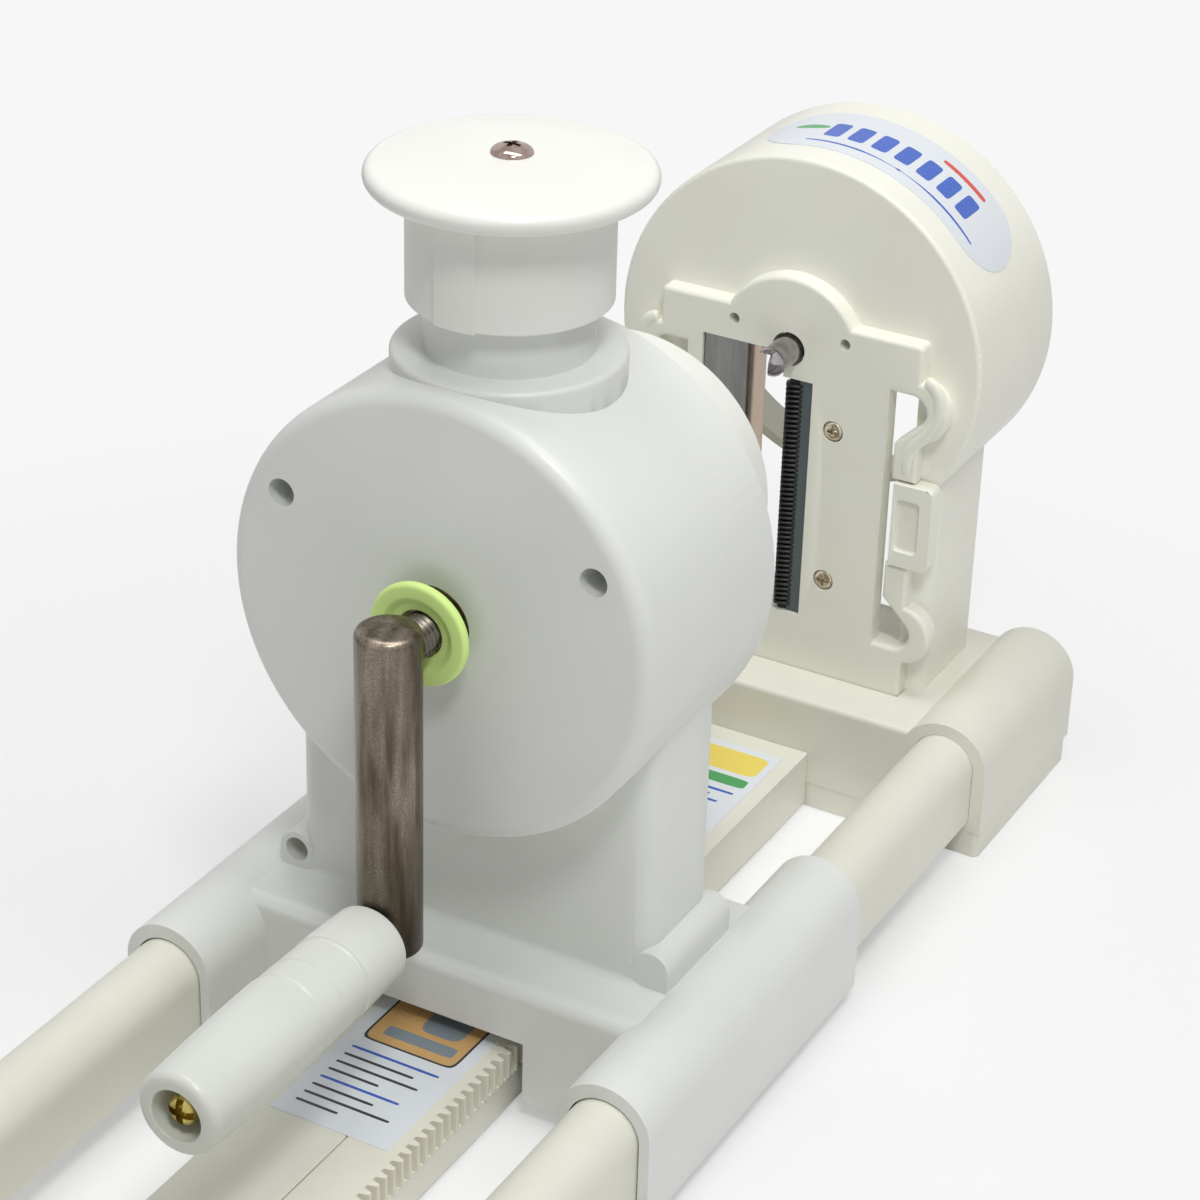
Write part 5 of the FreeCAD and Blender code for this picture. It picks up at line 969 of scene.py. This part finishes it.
@dataclass
class SetButton:
    """The round button, its skirt with one rib, and the rod and yoke below; sizes in millimetres."""

    shop: "Workshop"
    centre: Triple = (0.0, 1.0, 0.0)
    radius: float = 31.7
    under: float = 217.0
    top: float = 221.7
    crown: float = 2.4
    skirt_r: float = 22.8
    skirt_wall: float = 2.4
    skirt_bottom: float = 191.7
    post_r: float = 7.0
    post_bottom: float = 198.0
    bore_r: float = 5.0
    rib_half: float = 0.219
    rib_proud: float = 1.1

    def rib(self, angle: np.ndarray) -> np.ndarray:
        """How far the rib stands out at each angle: a flat top with steep sides about the direction -Y."""
        away = np.abs((angle + TAU / 4.0 + math.pi) % TAU - math.pi)
        return self.rib_proud * np.clip((self.rib_half - away) / 0.012, 0.0, 1.0)

    def body(self) -> Surface:
        """The disc with its full round rim, the skirt, and the post with its bore, in one turned grid."""
        half = (self.top - self.under) / 2.0
        flat = self.radius - half
        share = np.linspace(0.0, 1.0, 14)[:, None]
        crown = np.hstack([self.top + self.crown * (1.0 - share**2), flat * share])
        t = np.linspace(TAU / 4.0, -TAU / 4.0, 18)[1:, None]
        rim = np.hstack([self.under + half + half * np.sin(t), flat + half * np.cos(t)])
        inner = self.skirt_r - self.skirt_wall
        low = self.skirt_bottom
        rest = rounded([
            (self.under, flat, 0), (self.under, self.skirt_r, 0.5), (low, self.skirt_r, 0.45), (low, inner, 0.3),
            (self.under - 0.01, inner, 0.6), (self.under - 0.01, self.post_r, 0.6),
            (self.post_bottom, self.post_r, 0.5), (self.post_bottom, self.bore_r, 0.3),
            (self.top - 2.0, self.bore_r, 0), (self.top - 2.0, 0.0, 0),
        ])
        profile = np.vstack([crown, rim, rest[1:]])
        corners = np.array([-1.0, 1.0])[:, None] * (self.rib_half - np.array([-0.002, 0.0, 0.012, 0.014]))
        even = np.linspace(-TAU / 2.0, TAU / 2.0, 144, endpoint=False)
        angle = np.unique(np.concatenate([even, -TAU / 4.0 + corners.ravel()]))
        on_skirt = np.abs(profile[:, 1:2] - self.skirt_r) < 0.5
        on_skirt &= profile[:, :1] < self.under - 0.001
        radius = profile[:, 1:2] + np.where(on_skirt, self.rib(angle)[None, :], 0.0)
        return around(profile[:, :1], radius, angle, Axis.Z, self.centre).scaled(MM)

    def build(self) -> None:
        """Makes the button and dresses what it carries."""
        shop = self.shop
        shop.make("button_body", self.body(), Plastic.IVORY.value, "set_button", ["set_button"], 35.0)
        shop.screws("warm_chrome", PhillipsScrew(0.42, 0.12, 0.6, 2.0), "button_screw")
        shop.screws("nickel", PhillipsScrew(), "yoke_screw")
        shop.soften("sheet_steel", "button_rod", edge=0.3 * MM)
        shop.dress("sheet_steel", "yoke_washer")
        shop.soften("gear_plastic", "button_yoke", edge=0.3 * MM)


@dataclass
class Crank:
    """Arm, shaft, washer, grip and the holder with its spikes; sizes in millimetres."""

    shop: "Workshop"
    axis_z: float = 125.2
    arm_r: float = 7.45
    arm_y: float = -48.1
    arm_z: Pair = (51.3, 132.9)
    shaft_r: float = 5.0
    shaft_y: Pair = (-50.6, 52.0)
    thread_y: Pair = (-41.2, -31.0)
    thread_pitch: float = 1.5
    thread_depth: float = 0.6
    washer_y: Pair = (-36.9, -34.4)
    washer_r: float = 12.3
    washer_bore: float = 5.6
    grip_z: float = 56.3
    grip_rear_y: float = -56.05
    grip_length: float = 73.0
    grip_radii: Triple = (9.7, 10.85, 9.9)
    grip_widest_at: float = 38.0
    grip_grooves: tuple = ((16.5, 0.9, 0.5), (26.0, 0.5, 0.25), (33.5, 1.0, 0.5))
    grip_waist: float = 0.3
    grip_edges: Pair = (1.0, 2.0)
    recess_r: float = 6.2
    recess_depth: float = 9.0
    bore_r: float = 3.05

    def arm(self) -> Surface:
        """The bar, with a slightly crowned end above and turned edges."""
        z0, z1 = self.arm_z
        r = self.arm_r
        profile = rounded([(z0, 0, 0), (z0, r, 1.1), (z1 - 0.45, r, 2.3), (z1, 0, 0)], 12)
        return turned(profile, Axis.Z, (0.0, self.arm_y, 0.0), 112)

    def shaft(self) -> Surface:
        """The shaft; between arm and washer its radius is R - depth * |2 frac(y/pitch - t/turn) - 1|, a helix."""
        y0, y1 = self.shaft_y
        t0, t1 = self.thread_y
        y = np.concatenate([[y0, y0, y0 + 0.4], np.arange(t0, t1, 0.125), [y1 - 0.5, y1, y1]])[:, None]
        angle = even_angles(48)
        wave = np.abs(2.0 * ((y / self.thread_pitch - angle[None, :] / TAU) % 1.0) - 1.0)
        fade = np.clip(np.minimum(y - t0, t1 - y) / 0.8, 0.0, 1.0)
        radius = self.shaft_r - self.thread_depth * wave * fade
        radius[0], radius[-1] = 0.0, 0.0
        radius[1] -= 0.4
        radius[-2] -= 0.5
        return around(y, radius, angle, Axis.Y, (0.0, 0.0, self.axis_z)).scaled(MM)

    def washer(self) -> Surface:
        """The soft washer: a ring with a full round edge, dished toward its bore on the outer side."""
        y0, y1 = self.washer_y
        profile = rounded([
            (y1, self.washer_bore, 0), (y0 + 1.3, self.washer_bore, 0.3), (y0 + 1.0, 7.4, 1.2), (y0, 8.9, 1.3),
            (y0, self.washer_r, 1.15), (y1, self.washer_r, 1.15), (y1, self.washer_bore + 0.2, 0),
        ], 9)
        return turned(profile, Axis.Y, (0.0, 0.0, self.axis_z), ring=True)

    def grip(self) -> Surface:
        """The barrel: two bends from its widest place, a waist between the outer grooves, and the grooves.

        The radius at distance s from the rear end is widest - drop * ((s - widest_at) / reach)^2, less the waist
        and less depth * exp(-(2 (s - at) / width)^4) for each groove; the edges are rounded by quarter circles.
        """
        s = np.linspace(0.0, self.grip_length, 300)
        rear, wide, front = self.grip_radii
        before = s < self.grip_widest_at
        drop = np.where(before, wide - rear, wide - front)
        reach = np.where(before, self.grip_widest_at, self.grip_length - self.grip_widest_at)
        radius = wide - drop * ((s - self.grip_widest_at) / reach) ** 2
        grooves = np.array(self.grip_grooves)
        first, last = grooves[0, 0], grooves[-1, 0]
        radius -= self.grip_waist * np.clip(np.minimum(s - first, last - s) / 0.5, 0.0, 1.0)
        shape = np.exp(-((2.0 * (s[:, None] - grooves[None, :, 0]) / grooves[None, :, 1]) ** 4))
        radius -= (grooves[None, :, 2] * shape).sum(1)
        for edge, gap in zip(self.grip_edges, (s, self.grip_length - s)):
            inside = np.clip(edge - gap, 0.0, edge)
            radius -= edge - np.sqrt(edge**2 - inside**2)
        deep = self.grip_length - self.recess_depth
        inner = rounded([
            (self.grip_length, float(radius[-1]), 0), (self.grip_length, self.recess_r, 0.45),
            (deep, self.recess_r, 0.3), (deep, self.bore_r, 0.2),
            (0.0, self.bore_r, 0.3), (0.0, float(radius[0]) - 0.01, 0),
        ], 5)
        profile = np.vstack([np.stack([s, radius], -1), inner[1:]])
        profile[:, 0] *= -1.0
        return turned(profile, Axis.Y, (0.0, self.grip_rear_y, self.grip_z), 112, ring=True)

    def build(self) -> None:
        """Makes the crank's turned parts and dresses the holder."""
        shop = self.shop
        shop.make("crank_bar", self.arm(), "arm_steel", "crank_arm", ["crank_arm"], 50.0)
        shop.make("threaded_shaft", self.shaft(), "shaft_steel", "crank_shaft", ["crank_shaft"], 24.0)
        shop.make("soft_washer", self.washer(), "washer_green", "green_washer", ["green_washer"], 60.0)
        shop.make("turned_grip", self.grip(), Plastic.GRIP.value, "crank_grip", ["crank_grip"], 40.0)
        shop.screws("brass", PhillipsScrew(0.8, 0.22, 0.95, 4.0, 4.3 * MM), "grip_screw")
        shop.soften(Plastic.IVORY.value, "vegetable_holder", "holder_hub")
        shop.dress("clamp_steel", "spike_plate")
        shop.screws("nickel", PhillipsScrew(), "spike_screws")
        shop.dress("sheet_steel", "drive_pins", "shaft_clip")
        shop.dress("gear_plastic", "worm")


@dataclass
class FeedTrain:
    """The worm wheel, the upright shaft and the pinion on the rack."""

    shop: "Workshop"

    def build(self) -> None:
        """Dresses the gears, the shaft and its clips."""
        self.shop.dress("gear_plastic", "worm_wheel", "feed_pinion")
        self.shop.soften("shaft_steel", "feed_shaft", edge=0.25 * MM)
        self.shop.dress("sheet_steel", "feed_clips")


FINISHES = (
    MouldedPlastic(Plastic.CARRIAGE.value, (231, 233, 229), (228, 230, 226)),
    MouldedPlastic(Plastic.BASE.value, (231, 230, 218), (227, 226, 213)),
    MouldedPlastic(Plastic.HEAD.value, (246, 246, 235), (243, 242, 230)),
    MouldedPlastic(Plastic.CASSETTE.value, (243, 243, 231), (239, 239, 226)),
    MouldedPlastic(Plastic.IVORY.value, (236, 237, 231), (233, 233, 226)),
    MouldedPlastic(Plastic.GRIP.value, (222, 225, 218), (218, 221, 213), 0.3),
    MouldedPlastic(Plastic.RACK.value, (232, 229, 214), (226, 223, 206), 0.4),
    MouldedPlastic("washer_green", (224, 252, 158), (218, 248, 148), 0.6, 0.05),
    MouldedPlastic("comb_slate", (92, 103, 106), (84, 95, 98), 0.5),
    MouldedPlastic("gear_plastic", (232, 231, 226), (226, 225, 219), 0.45),
    MouldedPlastic("label_film", (228, 233, 238), (226, 231, 237), peel=0.0),
    MouldedPlastic("comb_black", (26, 26, 28), (18, 18, 20), 0.38, 0.05),
    # The arm steel darkens from 92 mm down to 60 mm: a painted dark reflection on the arm's lower end.
    DrawnSteel("arm_steel", (176, 165, 150), (92, 81, 69), (1.0, 1.0, 0.11), 0.28, 330.0, 0.6, (0.06, 0.092, 0.6)),
    DrawnSteel("shaft_steel", (132, 126, 118), (84, 78, 70), (1.0, 0.1, 1.0)),
    DrawnSteel("sheet_steel", (190, 188, 184), (150, 146, 140), (0.1, 1.0, 1.0)),
    DrawnSteel("spring_steel", (176, 176, 174), (130, 128, 124), (1.0, 1.0, 1.0)),
    DrawnSteel("clamp_steel", (164, 163, 163), (138, 137, 137), (1.0, 1.0, 0.1), 0.42),
    DrawnSteel("bevel_steel", (214, 196, 180), (196, 178, 163), (1.0, 1.0, 0.1)),
    PlatedMetal("nickel", (230, 220, 202), (196, 184, 162)),
    PlatedMetal("chrome", (176, 174, 176), (146, 142, 142), 0.06),
    PlatedMetal("warm_chrome", (176, 158, 150), (140, 122, 114), 0.08),
    PlatedMetal("brass", (204, 186, 112), (168, 148, 78), 0.26),
    PlatedMetal("old_brass", (128, 114, 84), (88, 76, 54), 0.36),
    PrintedInk("ink_black", (52, 52, 58), (66, 66, 72)),
    PrintedInk("ink_slate", (126, 138, 146), (140, 151, 158)),
    PrintedInk("ink_tan", (206, 164, 104), (216, 178, 124)),
    PrintedInk("ink_blue", (52, 92, 190), (76, 114, 204)),
    PrintedInk("ink_yellow", (238, 214, 92), (243, 224, 124)),
    PrintedInk("ink_green", (72, 160, 92), (96, 178, 112)),
    PrintedInk("ink_red", (214, 74, 60), (224, 100, 86)),
)


def main() -> None:
    """Builds the machine, its studio and its camera."""
    logging.basicConfig(level=logging.INFO, format="%(name)s: %(message)s")
    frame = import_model()
    bpy.context.scene.view_settings.view_transform = "Standard"
    PhotoCamera().build()
    shop = Workshop(frame, {finish.name: finish.build() for finish in FINISHES})
    for part in (BaseFrame(shop), BladeHead(shop), Carriage(shop), SetButton(shop), Crank(shop), FeedTrain(shop)):
        LOG.info("building %s", type(part).__name__)
        part.build()
    Studio().build()


if __name__ == "__main__":
    main()
